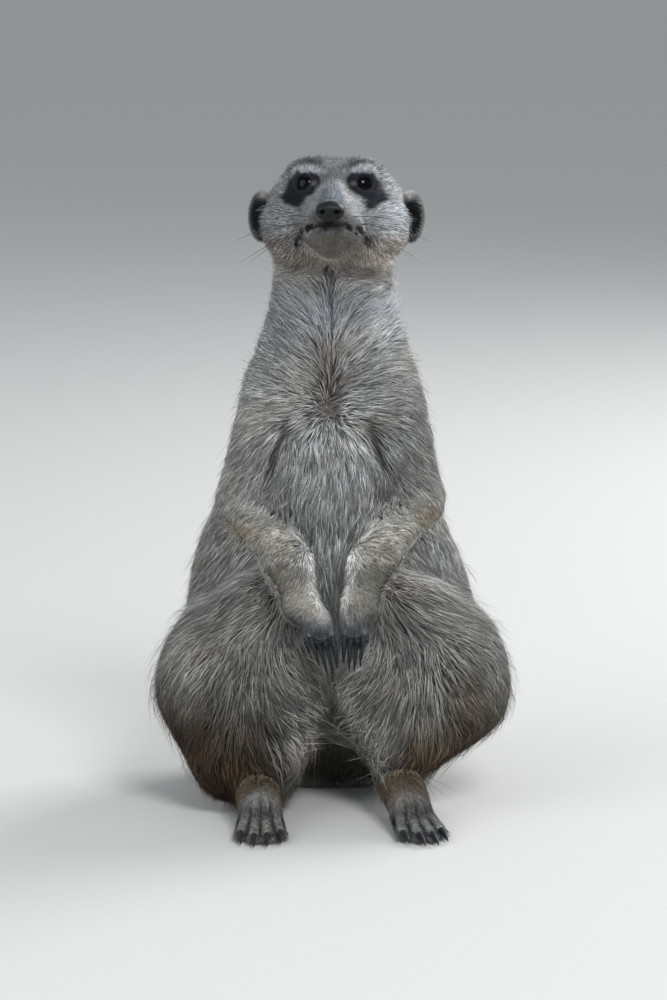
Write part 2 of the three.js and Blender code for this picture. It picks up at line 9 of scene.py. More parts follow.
import bmesh
import bpy
import numpy as np
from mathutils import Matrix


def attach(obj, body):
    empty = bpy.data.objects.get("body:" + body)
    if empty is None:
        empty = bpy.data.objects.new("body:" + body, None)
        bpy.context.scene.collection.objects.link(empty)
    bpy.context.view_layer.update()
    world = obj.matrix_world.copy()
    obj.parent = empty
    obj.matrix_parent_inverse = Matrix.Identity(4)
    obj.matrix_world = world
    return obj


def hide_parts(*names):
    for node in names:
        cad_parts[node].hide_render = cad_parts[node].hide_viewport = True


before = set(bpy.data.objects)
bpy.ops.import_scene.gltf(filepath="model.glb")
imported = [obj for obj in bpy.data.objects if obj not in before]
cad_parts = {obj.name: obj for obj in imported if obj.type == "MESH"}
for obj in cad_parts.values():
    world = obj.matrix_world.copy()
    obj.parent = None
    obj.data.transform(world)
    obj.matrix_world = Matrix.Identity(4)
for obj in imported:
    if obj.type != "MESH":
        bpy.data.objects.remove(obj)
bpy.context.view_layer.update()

import openvdb
from mathutils import Vector
from mathutils.kdtree import KDTree

MM = 0.001
SIDES = {"left": 1, "right": -1}          # the animal's own left is at +X
random = np.random.default_rng(20)


def direction(v):
    """v at length 1."""
    v = np.asarray(v, float)
    return v / np.linalg.norm(v)


# ---------------------------------------------------------------- body dimensions

# trunk stations: height, half width, front y, back y, middle x
TRUNK = np.array([
    [-8, 28, 0, 32, 0],
    [0, 37, -7, 40, 0],
    [12, 45, -14, 47, 0],
    [30, 51, -20, 51, 0],
    [50, 55, -25, 53, 0],
    [70, 57, -28, 51, -1],
    [90, 53, -30, 45.5, -2.5],
    [105, 47, -30, 39, -3],
    [122, 41, -30, 35, -1.5],
    [138, 38, -30, 32, 0],
    [150, 36, -29.5, 30, 0],
    [160, 34, -28, 28, 0],
    [172, 31, -25, 25.5, 0],
    [182, 28, -22, 23.5, 0],
    [192, 25.2, -20, 22, 0],
    [203, 23.8, -19, 21.5, 0],
    [214, 24, -18, 20, 0],
    [224, 23, -16, 18.5, 0],
    [236, 17, -14, 12, 0],
], np.float32)

TRUNK_BLEND, HEAD_BLEND, LIMB_BLEND, TOE_BLEND, ANKLE_BLEND = 9, 6, 7, 2.2, 4
ARM_JOIN, LEG_JOIN, TAIL_JOIN, FOLD_BLEND = 5, 12, 6, 14

HEAD_ORIGIN = (0.2, -27, 240.2)           # midway between the eyes
HEAD_PITCH, HEAD_YAW = radians(13), radians(3)
EYE_FRONT = (12, 0.4, 0)                  # head frame: side, forward, up
EYE_LOOK = direction((0.42, 0.9, 0.1))
EYE_RADIUS = 5.2
EYE_MIDDLE = np.array(EYE_FRONT) - EYE_LOOK * EYE_RADIUS
LID_THICKNESS = 0.75
EYE_HALF_WIDTH, EYE_HALF_HEIGHT = 3.0, 2.75
EAR_MIDDLE, EAR_RADII = (28.2, -21, -10), (5.4, 7.4, 10)

# limbs are chains of round cones; each knot is x, y, z and radius, on the left side
ARM = [[21, 0, 160, 13], [33, -9, 117, 11]]
FOREARM = [[32, -13, 115, 10.4], [16, -37, 97.5, 7.6], [10.6, -45, 82, 6.7]]
ARM_SHIFT = -1.2                          # both arms stand a little to the right
HAND = {-1: (-5.4, -50, 75.5), 1: (7.2, -48, 76)}
WRIST_RADIUS = 5.7
FINGER_RADIUS, FINGER_DROP = 1.8, 6.0
FINGER_SPREAD = {-1: 2.9, 1: 2.6}
CLAW_LEAN = {-1: 0.4, 1: -0.2}            # the claws of both hands come together
FORE_CLAW_REACH = (10.8, 12.2, 12.6, 11.4)
THIGH = [[22, 8, 44, 29], [45, -27, 48, 23.5]]
# the lap is the thigh's upper side, the fold runs from the belly down over the knee
LAP = [[18, -23, 52, 22], [43, -30, 46, 23]]
FOLD = [[13, -26, 88, 9.5], [31, -25, 75, 13.5], [48, -11, 60, 16]]
LEG = {
    -1: dict(shank=[[44, -30, 44, 23], [40, -39, 22, 17.5]],
             calf=[[17, -30, 42, 18], [24, -40, 19, 14]],
             heel=[-29, -50, 10.5, 9], instep=[-27.5, -69, 8, 8.2], heading=0.02),
    1: dict(shank=[[43, -30, 46, 23], [34, -38, 32, 17]],
            calf=[[16, -30, 42, 18], [24, -39, 23, 13.5]],
            heel=[26, -50, 12, 9], instep=[29, -68, 8, 8.2], heading=0.27),
}
# heading is how far the foot turns towards +X, in radians
TOE_RADIUS, TOE_SPREAD = 3.1, 4.9
TOE_LENGTHS = (13.5, 17.5, 18, 14)
TAIL = [
    [0, 36, 15, 14], [2, 58, 9.5, 10.5], [7, 88, 7.4, 8.4], [11, 115, 6.6, 7.6],
    [12.5, 140, 6.1, 7.1], [11.5, 165, 5.5, 6.5], [6, 190, 4.9, 5.9], [-3, 212, 4.1, 5.1],
    [-11, 228, 2.8, 3.6],
]

# ---------------------------------------------------------------- distance fields
# Points are arrays of shape (3, n); a field gives n distances in millimetres.

FAR_OFF = 30.0                            # a distance past which a detail no longer counts
SHARE_WIDTH = 2.5                         # two parts share the coat over about this width


def column(v):
    return np.asarray(v, np.float32).reshape(3, 1)


def length(v):
    return np.sqrt(np.einsum("ij,ij->j", v, v))


def unit(v):
    return v / np.maximum(length(v), 1e-6)


def ramp(value, start, end):
    """0 before start, 1 after end, smooth between; start may be above end."""
    t = np.clip((value - start) / (end - start), 0, 1)
    return t * t * (3 - 2 * t)


def blend(a, b, k):
    h = np.maximum(k - np.abs(a - b), 0) / k
    return np.minimum(a, b) - h * h * k * 0.25


def mix(a, b, t):
    return a + (b - a) * t


def carve(a, b, k):
    """a with b taken out of it."""
    return -blend(-a, b, k)


def ellipsoid(p, middle, radii):
    d = (p - column(middle)) / column(radii)
    near = length(d)
    slope = length(d / column(radii))
    return near * (near - 1) / np.maximum(slope, 1e-9)


def cone(p, a, b, radius_a, radius_b):
    """A round cone from a to b."""
    start = column(a[:3])
    along = column(b[:3]) - start
    d = p - start
    t = np.clip((d * along).sum(0) / (along ** 2).sum(), 0, 1)
    return length(d - t * along) - (radius_a + (radius_b - radius_a) * t)


def chain(p, knots, k=LIMB_BLEND):
    """Round cones through [x, y, z, radius] knots."""
    d = cone(p, knots[0], knots[1], knots[0][3], knots[1][3])
    for a, b in zip(knots[1:-1], knots[2:]):
        d = blend(d, cone(p, a, b, a[3], b[3]), k)
    return d


def mirrored(p, side):
    return p * column((side, 1, 1))


def boxed(p, low, high):
    return ((p > column(low)) & (p < column(high))).all(0)


def within(p, low, high, field):
    """field(p) inside a box, and FAR_OFF outside it."""
    inside = boxed(p, low, high)
    d = np.full(p.shape[1], FAR_OFF, np.float32)
    if inside.any():
        d[inside] = field(p[:, inside])
    return d


def station(z, place):
    """A smooth value between the trunk's stations at heights z."""
    knots, values = TRUNK[:, 0], TRUNK[:, place]
    last = len(knots) - 1
    before = np.maximum(np.arange(last + 1) - 1, 0)
    after = np.minimum(np.arange(last + 1) + 1, last)
    slope = (values[after] - values[before]) / (knots[after] - knots[before])
    z = np.clip(z, knots[0], knots[-1])
    i = np.clip(np.searchsorted(knots, z, side="right") - 1, 0, last - 1)
    span = knots[i + 1] - knots[i]
    t = (z - knots[i]) / span
    return (values[i] * (2 * t ** 3 - 3 * t ** 2 + 1) + values[i + 1] * (3 * t ** 2 - 2 * t ** 3)
            + slope[i] * span * (t ** 3 - 2 * t ** 2 + t)
            + slope[i + 1] * span * (t ** 3 - t ** 2))


def trunk_field(p):
    half_width, front, back = (station(p[2], place) for place in (1, 2, 3))
    half_depth = (back - front) / 2
    dx = p[0] - station(p[2], 4)
    dy = p[1] - (back + front) / 2
    near = np.hypot(dx / half_width, dy / half_depth)
    slope = np.hypot(dx / half_width ** 2, dy / half_depth ** 2)
    ring = near * (near - 1) / np.maximum(slope, 1e-9)
    return np.maximum(ring, p[2] - TRUNK[-1, 0])


HEAD_AXES = np.array([
    [cos(HEAD_YAW), -sin(HEAD_YAW), 0],
    [-sin(HEAD_YAW) * cos(HEAD_PITCH), -cos(HEAD_YAW) * cos(HEAD_PITCH), sin(HEAD_PITCH)],
    [sin(HEAD_YAW) * sin(HEAD_PITCH), cos(HEAD_YAW) * sin(HEAD_PITCH), cos(HEAD_PITCH)],
], np.float32)                             # rows: side, forward, up


def to_head(p):
    return HEAD_AXES @ (p - column(HEAD_ORIGIN))


def from_head(q):
    return HEAD_AXES.T @ q + column(HEAD_ORIGIN)


def folded(q):
    """Both halves of the head on its left side."""
    return np.stack([np.abs(q[0]), q[1], q[2]])


def head_field(p):
    q = to_head(p)
    half = folded(q)
    d = ellipsoid(q, (0, -18, -7), (26.5, 22, 20.4))                                   # cranium
    d = blend(d, ellipsoid(half, (15.5, -13.5, -16), (13, 15, 13.5)), HEAD_BLEND)      # cheeks
    d = blend(d, cone(q, (0, -4, -12), (0, 20, -17.6), 14, 7.4), HEAD_BLEND)           # muzzle
    d = blend(d, cone(q, (0, -2, -3.6), (0, 22, -13.2), 8, 4.4), HEAD_BLEND)           # bridge
    d = blend(d, ellipsoid(half, (6.2, 11.5, -19.5), (6.6, 9.5, 5.6)), 4)              # lips
    d = blend(d, cone(q, (0, -6, -20), (0, 13.5, -24.2), 10.5, 5.4), HEAD_BLEND)       # chin
    d = carve(d, ellipsoid(half, (13, 5.6, -0.6), (6.6, 6, 5)), 4)                     # orbits
    d = blend(d, ellipsoid(half, (10.8, -8, 5.6), (8.2, 8.4, 5.2)), HEAD_BLEND)        # brows
    return carve(d, ellipsoid(q, (0, -14, 17.4), (4.5, 20, 4.5)), 5)                   # crown's dip


def finger_knots(side):
    palm = HAND[side]
    knots = []
    for i in range(4):
        across = (i - 1.5) * FINGER_SPREAD[side]
        root = (palm[0] + across, palm[1] - 1.5, palm[2] - 3, FINGER_RADIUS * 1.1)
        tip = (palm[0] + across * 0.96 + 0.8, palm[1] - 3.4,
               palm[2] - FINGER_DROP + abs(across) * 0.35, FINGER_RADIUS)
        knots.append([root, tip])
    return knots


def toe_knots(side):
    leg = LEG[side]
    instep = np.array(leg["instep"][:3], float)
    forward = np.array((sin(leg["heading"]), -cos(leg["heading"]), 0))
    across = np.array((cos(leg["heading"]), sin(leg["heading"]), 0))
    knots = []
    for i, reach in enumerate(TOE_LENGTHS):
        offset = (i - 1.5) * TOE_SPREAD * side
        root = instep + across * offset * 0.72 + forward * 2
        tip = instep + across * offset + forward * reach
        knots.append([(root[0], root[1], 5.6, TOE_RADIUS * 1.1),
                      (tip[0], tip[1], TOE_RADIUS - 0.7, TOE_RADIUS)])
    return knots


def arm_field(p, side):
    own = mirrored(p - column((ARM_SHIFT, 0, 0)), side)
    d = blend(chain(own, ARM), chain(own, FOREARM), LIMB_BLEND)

    def hand(p):
        wrist = (FOREARM[2][0] * side + ARM_SHIFT, *FOREARM[2][1:3])
        d = cone(p, wrist, HAND[side], FOREARM[2][3], WRIST_RADIUS)
        for knots in finger_knots(side):
            d = blend(d, chain(p, knots), TOE_BLEND)
        return d
    x, y, z = HAND[side]
    return blend(d, within(p, (x - 24, y - 24, z - 32), (x + 24, y + 24, z + 26), hand), 4)


def haunch_field(p, side):
    own, leg = mirrored(p, side), LEG[side]
    d = blend(chain(own, THIGH), chain(own, LAP), LIMB_BLEND)
    for knots in (leg["shank"], leg["calf"]):
        d = blend(d, chain(own, knots), LIMB_BLEND)
    return blend(d, chain(own, FOLD), FOLD_BLEND)


def foot_field(p, side):
    leg = LEG[side]
    d = chain(p, [leg["heel"], leg["instep"]])

    def toes(p):
        d = np.full(p.shape[1], FAR_OFF, np.float32)
        for knots in toe_knots(side):
            d = blend(d, chain(p, knots), TOE_BLEND)
        return d
    x, y, _ = leg["instep"][:3]
    return blend(d, within(p, (x - 26, y - 42, -12), (x + 26, y + 22, 26), toes), TOE_BLEND)


def leg_field(p, side):
    return blend(haunch_field(p, side), foot_field(p, side), ANKLE_BLEND)


def foot_amount(p):
    """1 on the feet, 0 on the rest of the legs."""
    left, right = (ramp(foot_field(p, side) - haunch_field(p, side), 1.0, -3.0)
                   for side in SIDES.values())
    return np.where(p[0] > 0, left, right)


def body_parts(p):
    """Distance from p to the coat's surface on each part of the body."""
    return {
        "head": head_field(p), "trunk": trunk_field(p),
        "arm_left": arm_field(p, 1), "arm_right": arm_field(p, -1),
        "leg_left": leg_field(p, 1), "leg_right": leg_field(p, -1),
        "tail": chain(p, TAIL, 4),
    }


def joined(parts):
    d = blend(parts["trunk"], parts["head"], TRUNK_BLEND)
    d = blend(d, np.minimum(parts["arm_left"], parts["arm_right"]), ARM_JOIN)
    d = blend(d, blend(parts["leg_left"], parts["leg_right"], 3), LEG_JOIN)
    return blend(d, parts["tail"], TAIL_JOIN)


def shares(parts):
    """How much each part of the body owns each point; they add up to 1."""
    names = list(parts)
    d = np.stack([parts[name] for name in names])
    weight = np.exp(-(d - d.min(0)) / SHARE_WIDTH)
    weight /= weight.sum(0)
    return dict(zip(names, weight))


# ---------------------------------------------------------------- depth of the coat

def coat_depth(p, parts, share=None):
    """How far the skin lies inside the tips of the coat."""
    share = share or shares(parts)
    _, y, z = p
    q = to_head(p)
    half = folded(q)
    head = 0.9 + 1.9 * ramp(q[1], 10, -14) + 0.5 * ramp(q[2], -20, -26) * ramp(q[1], 18, 6)
    head *= 1 - 0.55 * ramp(length(half - column(EYE_FRONT)), 10, 5)
    trunk = np.interp(z, [0, 20, 60, 120, 170, 200, 230], [2, 5, 5.4, 4.6, 4.2, 3.4, 3])
    trunk = trunk + 0.7 * ramp(y, 5, 25)
    arm = np.interp(z, [62, 78, 86, 100, 114, 128, 150], [0.7, 0.9, 1.2, 1.5, 2.4, 3.6, 4.2])
    leg = mix(5.6, np.interp(y, [-72, -62, -52], [0.9, 1.1, 1.5]), foot_amount(p))
    tail = np.interp(y, [50, 80, 230], [4, 2.6, 1.8])
    depth = (share["head"] * head + share["trunk"] * trunk + share["tail"] * tail
             + (share["arm_left"] + share["arm_right"]) * arm
             + (share["leg_left"] + share["leg_right"]) * leg)
    sole = ramp(y, -50, -58) * (share["leg_left"] + share["leg_right"])
    return (depth * ramp(z, -2, mix(9, 3, sole))).astype(np.float32)


# ---------------------------------------------------------------- the skin's own shape
# Eyelids, mouth, the groove under the nose and ears, which the coat's surface leaves out.

EYE_ACROSS = direction(np.cross(EYE_LOOK, (0, 0, 1)))      # towards the outer corner
EYE_OVER = np.cross(EYE_ACROSS, EYE_LOOK)


def eye_slit(half):
    """0 at the slit's middle and 1 at the lid's edge, and the distance from the eye's middle."""
    d = half - column(EYE_MIDDLE)
    across = (d * column(EYE_ACROSS)).sum(0)
    over = (d * column(EYE_OVER)).sum(0)
    ahead = (d * column(EYE_LOOK)).sum(0)
    width = np.where(across < 0, EYE_HALF_WIDTH * 1.12, EYE_HALF_WIDTH)
    lean = over + 0.10 * across
    share = np.hypot(across / width, lean / EYE_HALF_HEIGHT)
    return np.where(ahead > 0, share, 9.0), length(d)


# half the mouth's line, side and up in the head's frame
MOUTH_LINE = [(0, -19.4), (3, -19.2), (6, -19.3), (9, -19.8), (11.5, -20.6), (13.4, -21.6)]


def onto_face(side, up):
    """The point of the skin straight behind (side, up), in the head's frame."""
    ahead = np.arange(32, -6, -0.1)
    q = np.stack([np.full(ahead.shape, side), ahead, np.full(ahead.shape, up)]).astype(np.float32)
    p = from_head(q)
    parts = body_parts(p)
    return q[:, np.argmax(joined(parts) + coat_depth(p, parts) < 0)]


MOUTH = [onto_face(*place) for place in MOUTH_LINE]
PHILTRUM_TOP = onto_face(0, -17.5)
MOUTH_GROOVE = 0.45                       # radius of the groove between the lips


def mouth_distance(half):
    """Distance to the line between the lips."""
    line = np.full(half.shape[1], FAR_OFF, np.float32)
    for a, b in zip(MOUTH[:-1], MOUTH[1:]):
        line = np.minimum(line, cone(half, a, b, 0, 0))
    return line


def face_detail(d, p):
    """Adds the eyelids and cuts their opening, the mouth's groove and the philtrum."""
    q = to_head(p)
    half = folded(q)
    slit, from_eye = eye_slit(half)
    d = blend(d, from_eye - (EYE_RADIUS + LID_THICKNESS), 2.4)
    opening = np.maximum((slit - 1) * EYE_HALF_HEIGHT, (EYE_RADIUS - 0.35) - from_eye)
    d = carve(d, opening, 0.35)
    d = carve(d, mouth_distance(half) - MOUTH_GROOVE, 0.9)
    return carve(d, cone(q, PHILTRUM_TOP, MOUTH[0], 0.35, 0.35), 0.8)


def ear_field(p):
    """Both ears, each a flat shell with a hollow in front."""
    half = folded(to_head(p))
    d = ellipsoid(half, EAR_MIDDLE, np.array(EAR_RADII) - 0.5)
    x, y, z = EAR_MIDDLE
    cup = ellipsoid(half, (x + 1.6, y + 7.6, z - 0.8), (3.0, 3.4, 6.0))
    return carve(d, cup, 1.6)


def skin_field(p):
    parts = body_parts(p)
    d = joined(parts) + coat_depth(p, parts)
    d = blend(d, within(p, (-46, -40, 200), (46, 20, 260), ear_field), 1.5)
    face = boxed(p, (-30, -70, 205), (30, -10, 255))
    if face.any():
        d[face] = face_detail(d[face], p[:, face])
    return np.maximum(d, -p[2])


# ---------------------------------------------------------------- fields to meshes

BATCH = 400_000                           # points worked out at once


class Volume:
    """Distances on a regular grid, worked out only near the surface."""

    def __init__(self, field, low, high, step, reach_in, reach_out, coarse=4):
        self.low, self.step = np.array(low, np.float32), step
        size = np.ceil((np.array(high) - self.low) / (step * coarse)).astype(int)
        rough = self._values(field, size + 1, step * coarse)
        near = (rough < reach_out + step * coarse) & (rough > -reach_in - step * coarse)
        inside = rough < 0
        count = size * coarse
        self.values = np.full(count, reach_out, np.float32)
        block = near.copy()
        for axis in range(3):
            block |= np.roll(near, 1, axis) | np.roll(near, -1, axis)

        def fine(a):
            return a[:-1, :-1, :-1].repeat(coarse, 0).repeat(coarse, 1).repeat(coarse, 2)
        self.values[fine(inside)] = -reach_in
        index = np.nonzero(fine(block))
        for part in range(0, len(index[0]), BATCH):
            chosen = tuple(i[part:part + BATCH] for i in index)
            p = np.stack(chosen).astype(np.float32) * step + column(self.low)
            self.values[chosen] = np.clip(field(p), -reach_in, reach_out)

    def _values(self, field, count, step):
        index = np.indices(count).reshape(3, -1).astype(np.float32)
        return field(index * step + column(self.low)).reshape(count)

    def mesh(self):
        """Vertices in millimetres, (n, 3), and triangles that face outwards."""
        grid = openvdb.FloatGrid()
        grid.copyFromArray(self.values)
        points, triangles, quads = grid.convertToPolygons(0.0)
        faces = np.concatenate([triangles.reshape(-1, 3), quads[:, [0, 1, 2]], quads[:, [0, 2, 3]]])
        points = np.asarray(points, np.float32) * self.step + self.low
        a, b, c = (points[faces[:, i]] for i in range(3))
        if np.einsum("ij,ij->i", a, np.cross(b, c)).sum() < 0:
            faces = faces[:, ::-1]
        return points, faces

    def at(self, p):
        """Distance and its slope at points of shape (3, n), by trilinear interpolation."""
        g = (p - self.low.reshape(3, 1)) / self.step
        g = np.clip(g, 0, np.array(self.values.shape).reshape(3, 1) - 1.001)
        i = g.astype(int)
        f = g - i
        v = self.values
        c = [[[v[i[0] + j, i[1] + k, i[2] + m] for m in (0, 1)] for k in (0, 1)] for j in (0, 1)]
        xy = [[mix(c[0][k][m], c[1][k][m], f[0]) for m in (0, 1)] for k in (0, 1)]
        level = [mix(xy[0][m], xy[1][m], f[1]) for m in (0, 1)]
        dx = mix(mix(c[1][0][0] - c[0][0][0], c[1][1][0] - c[0][1][0], f[1]),
                 mix(c[1][0][1] - c[0][0][1], c[1][1][1] - c[0][1][1], f[1]), f[2])
        dy = mix(xy[1][0] - xy[0][0], xy[1][1] - xy[0][1], f[2])
        slope = unit(np.stack([dx, dy, level[1] - level[0]]))
        return mix(level[0], level[1], f[2]), slope


SETTLE_ROUNDS, FEEL, FARTHEST_MOVE = 2, 0.15, 0.6


def settle(points, field):
    """Moves points, (n, 3), onto the field's surface."""
    p = points.T.astype(np.float32)
    for _ in range(SETTLE_ROUNDS):
        d = field(p)
        slope = np.stack([field(p + column(way * FEEL)) - d for way in np.eye(3)]) / FEEL
        steep = np.maximum((slope ** 2).sum(0), 0.15)
        p = p - np.clip(d / steep, -FARTHEST_MOVE, FARTHEST_MOVE) * slope
    return p.T


def new_object(name, points, faces, smooth=True):
    """A mesh object from vertices in millimetres and a list or array of faces."""
    mesh = bpy.data.meshes.new(name)
    if isinstance(faces, np.ndarray):
        sizes = faces.shape[1]
        mesh.vertices.add(len(points))
        mesh.vertices.foreach_set("co", (np.asarray(points, np.float32) * MM).ravel())
        mesh.loops.add(faces.size)
        mesh.loops.foreach_set("vertex_index", faces.astype(np.int32).ravel())
        mesh.polygons.add(len(faces))
        mesh.polygons.foreach_set("loop_start", np.arange(0, faces.size, sizes, dtype=np.int32))
        mesh.update(calc_edges=True)
    else:
        mesh.from_pydata([tuple(v * MM for v in p) for p in points], [], faces)
    mesh.polygons.foreach_set("use_smooth", np.full(len(mesh.polygons), smooth))
    piece = bpy.data.objects.new(name, mesh)
    bpy.context.scene.collection.objects.link(piece)
    return piece


def mesh_arrays(mesh):
    """Vertices in millimetres, (n, 3), and triangles, (m, 3)."""
    points = np.empty(len(mesh.vertices) * 3, np.float32)
    mesh.vertices.foreach_get("co", points)
    mesh.calc_loop_triangles()
    faces = np.empty(len(mesh.loop_triangles) * 3, np.int32)
    mesh.loop_triangles.foreach_get("vertices", faces)
    return points.reshape(-1, 3) / MM, faces.reshape(-1, 3)


def vertex_normals(mesh):
    normals = np.empty(len(mesh.vertices) * 3, np.float32)
    mesh.vertices.foreach_get("normal", normals)
    return normals.reshape(-1, 3)


def give(mesh, name, values, kind="FLOAT"):
    """Stores one value or one colour for each vertex."""
    attribute = mesh.attributes.new(name, kind, "POINT")
    if kind == "FLOAT_COLOR":
        values = np.column_stack([values, np.ones(len(values))])
        attribute.data.foreach_set("color", values.astype(np.float32).ravel())
    else:
        attribute.data.foreach_set("value", values.astype(np.float32))


SKIN_STEP, SKIN_LOW, SKIN_HIGH = 1.35, (-78, -104, -8), (78, 244, 262)
KEPT_INSIDE, KEPT_OUTSIDE = 6, 16         # distances are kept this far from the skin
volume = Volume(skin_field, SKIN_LOW, SKIN_HIGH, SKIN_STEP, KEPT_INSIDE, KEPT_OUTSIDE)
skin_points, skin_faces = volume.mesh()


FACE_EDGE, DETAIL_EDGE = 0.95, 0.5        # the longest edges on the face and at eyes and mouth


def refined(points, faces):
    """Smaller triangles on the face, where the lids and the mouth need them."""
    piece = new_object("raw_skin", points, faces)
    work = bmesh.new()
    work.from_mesh(piece.data)
    for longest in (FACE_EDGE, DETAIL_EDGE):
        detail = longest == DETAIL_EDGE
        edges = []
        for edge in work.edges:
            a, b = edge.verts[0].co, edge.verts[1].co
            if edge.calc_length() > longest * MM and a.z > 0.2:
                q = to_head(np.array((a + b) / 2, np.float32).reshape(3, 1) / MM)[:, 0]
                if q[1] > (-2 if detail else -8) and (near_detail(q) or not detail):
                    edges.append(edge)
        bmesh.ops.subdivide_edges(work, edges=edges, cuts=1, use_grid_fill=False)
        bmesh.ops.triangulate(work, faces=[f for f in work.faces if len(f.verts) > 3])
    work.to_mesh(piece.data)
    work.free()
    points, faces = mesh_arrays(piece.data)
    bpy.data.objects.remove(piece)
    return points, faces


def near_detail(q):
    side = abs(q[0])
    eye = np.linalg.norm((side - EYE_FRONT[0], q[1] - EYE_FRONT[1], q[2])) < 6.5
    mouth = side < 14 and q[1] > 5 and -28 < q[2] < -16
    return eye or mouth


points, faces = refined(skin_points, skin_faces)
points = settle(points, skin_field)
points[:, 2] = np.maximum(points[:, 2], 0)
skin = new_object("skin", points, faces)
skin_normals = vertex_normals(skin.data)

# ---------------------------------------------------------------- the lie of the coat

WHORL = (-1.5, 153)                       # x and z of the crown of hair on the chest
NOSE = (0, 30, -12)                       # the hair of the head lies back from the nose
NOSE_PAD, NOSE_PAD_RADII = (0, 25.4, -13.8), (4.9, 4.2, 3.6)


def whorl_distance(p):
    return np.hypot(p[0] - WHORL[0], p[2] - WHORL[1])


def lay(vector, normal):
    """The vector laid flat on the surface, at length 1."""
    return unit(vector - normal * (vector * normal).sum(0))


def spread(x, y, z, n):
    return np.stack([np.broadcast_to(np.asarray(v, np.float32), n) for v in (x, y, z)])


def wobble(p, scale, seed):
    """Smooth noise between about -1 and 1, from a few crossed waves."""
    local = np.random.default_rng(seed)
    total = np.zeros(p.shape[1])
    for _ in range(7):
        way = local.normal(size=3)
        total += np.sin((p * column(way)).sum(0) * (1.6 / scale) + local.uniform(0, 2 * pi))
    return total / 3.5


def lie_of(p, normal, share):
    """The way the hair points at each place, along the surface."""
    x, y, z = p
    n = p.shape[1]
    side = np.where(x < 0, -1.0, 1.0)

    # head: back from the nose, and downwards at the nape
    q = to_head(p)
    head = unit(HEAD_AXES.T @ (q - column(NOSE)))
    head = head + spread(0, 0, -2.5, n) * ramp(q[1], -26, -40)

    # trunk: down, but outwards from the whorl on the chest and the parting over it
    dx, dz = x - WHORL[0], z - WHORL[1]
    u = np.abs(dx)
    outward = (u * mix(1, 0.25, ramp(dz, 1, -7) * ramp(u, 21, 12))
               + 12 * np.minimum(u / 4, 1) * ramp(dz, -8, 6))
    upward = np.where(dz > 0, 0.7 * dz * ramp(z, 205, 183), 1.2 * dz) - 0.02 * u ** 2
    chest = unit(spread(np.sign(dx) * outward, 0.6 * outward, upward, n))
    down = unit(spread(0.006 * x, 0.0, -1.0, n) + spread(0.2 * side, 0.25, 0, n) * ramp(y, -14, 4))
    on_chest = ramp(z, 124, 141) * np.maximum(ramp(y, 14, -6), ramp(z, 180, 195) * ramp(y, 16, 4))
    trunk = unit(down + (chest - down) * on_chest)

    # hind legs: degrees from straight down, outwards, seen from the front
    out = np.abs(x)
    below = np.interp(out, [6, 20, 32, 42, 50, 58], [-46, -48, -36, -14, 8, 14])
    at_knee = np.interp(out, [6, 18, 26, 34, 42, 58], [-58, -62, -44, -6, 28, 34])
    at_fold = np.interp(out, [4, 10, 18, 30, 58], [-30, -6, 44, 60, 58])
    bearing = mix(below, at_knee, ramp(z, 26, 52))
    bearing = mix(bearing, at_fold, ramp(z, 52, 82) * ramp(y, 5, -12))
    bearing = mix(bearing, 16, ramp(y, -14, 6))
    bearing = mix(bearing, 4, ramp(z, 28, 18) * ramp(out, 16, 24))
    bearing = np.radians(bearing + 7 * wobble(p, 22, 8))
    leg = spread(side * np.sin(bearing), 0.2 * ramp(y, -30, 0), -np.cos(bearing), n)
    on_foot = foot_amount(p)
    for foot in SIDES.values():
        turn = LEG[foot]["heading"]
        ahead = spread(sin(turn), -cos(turn), -0.75, n)
        leg = mix(leg, ahead, on_foot * (side == foot))

    # arms: down and outwards, then straight down over the hands
    upper = unit(spread(0.5 * side, 0.3, -0.8, n))
    lower = unit(spread(0.75 * side, 0.1, -0.62, n))
    hand = spread(0, -0.3, -1, n)
    arm = mix(upper, lower, ramp(z, 122, 108) * ramp(y, -4, -16))
    arm = mix(arm, hand, ramp(z, 84, 74))
    arm = mix(unit(arm), trunk, ramp(z, 144, 164))

    # tail: along its middle line
    tail_y = [knot[1] for knot in TAIL]
    tail_x = [knot[0] for knot in TAIL]
    tail = spread(np.interp(y + 4, tail_y, tail_x) - np.interp(y - 4, tail_y, tail_x), 8, -0.6, n)

    lie = (share["head"] * unit(head) + share["trunk"] * trunk + share["tail"] * unit(tail)
           + (share["leg_left"] + share["leg_right"]) * unit(leg)
           + (share["arm_left"] + share["arm_right"]) * unit(arm))
    return lay(lie, normal)


# ---------------------------------------------------------------- markings

def shade(r, g, b):
    """An sRGB colour as linear light."""
    return ((np.array((r, g, b), np.float32) / 255) ** 2.2).reshape(3, 1)


# outline of the dark patch round an eye: lateral and up from the eye's front
EYE_PATCH = np.array([
    (-7.2, 1.6), (-5.2, 3.3), (-1.5, 4.4), (2.6, 4.1), (5.8, 0.8), (8.6, -5.2), (3.9, -8.9),
    (0.8, -10.4), (-0.3, -8.4), (-4, -4.5), (-7.2, -0.6),
])

# painted light and shade on the coat's front, lighter or darker where the light falls: x, z, half
# width, half height, gain
PAINTED_LIGHT_AND_SHADE = [
    (-11, 196, 11, 17, 0.14), (10, 196, 11, 17, -0.12), (-26, 149, 14, 22, 0.28),
    (26, 153, 13, 20, -0.1), (-2, 94, 11, 19, 0.45), (34, 114, 12, 11, 0.4),
    (38, 86, 15, 24, 0.36), (-44, 82, 15, 26, -0.16), (-38, 50, 22, 28, -0.14),
]


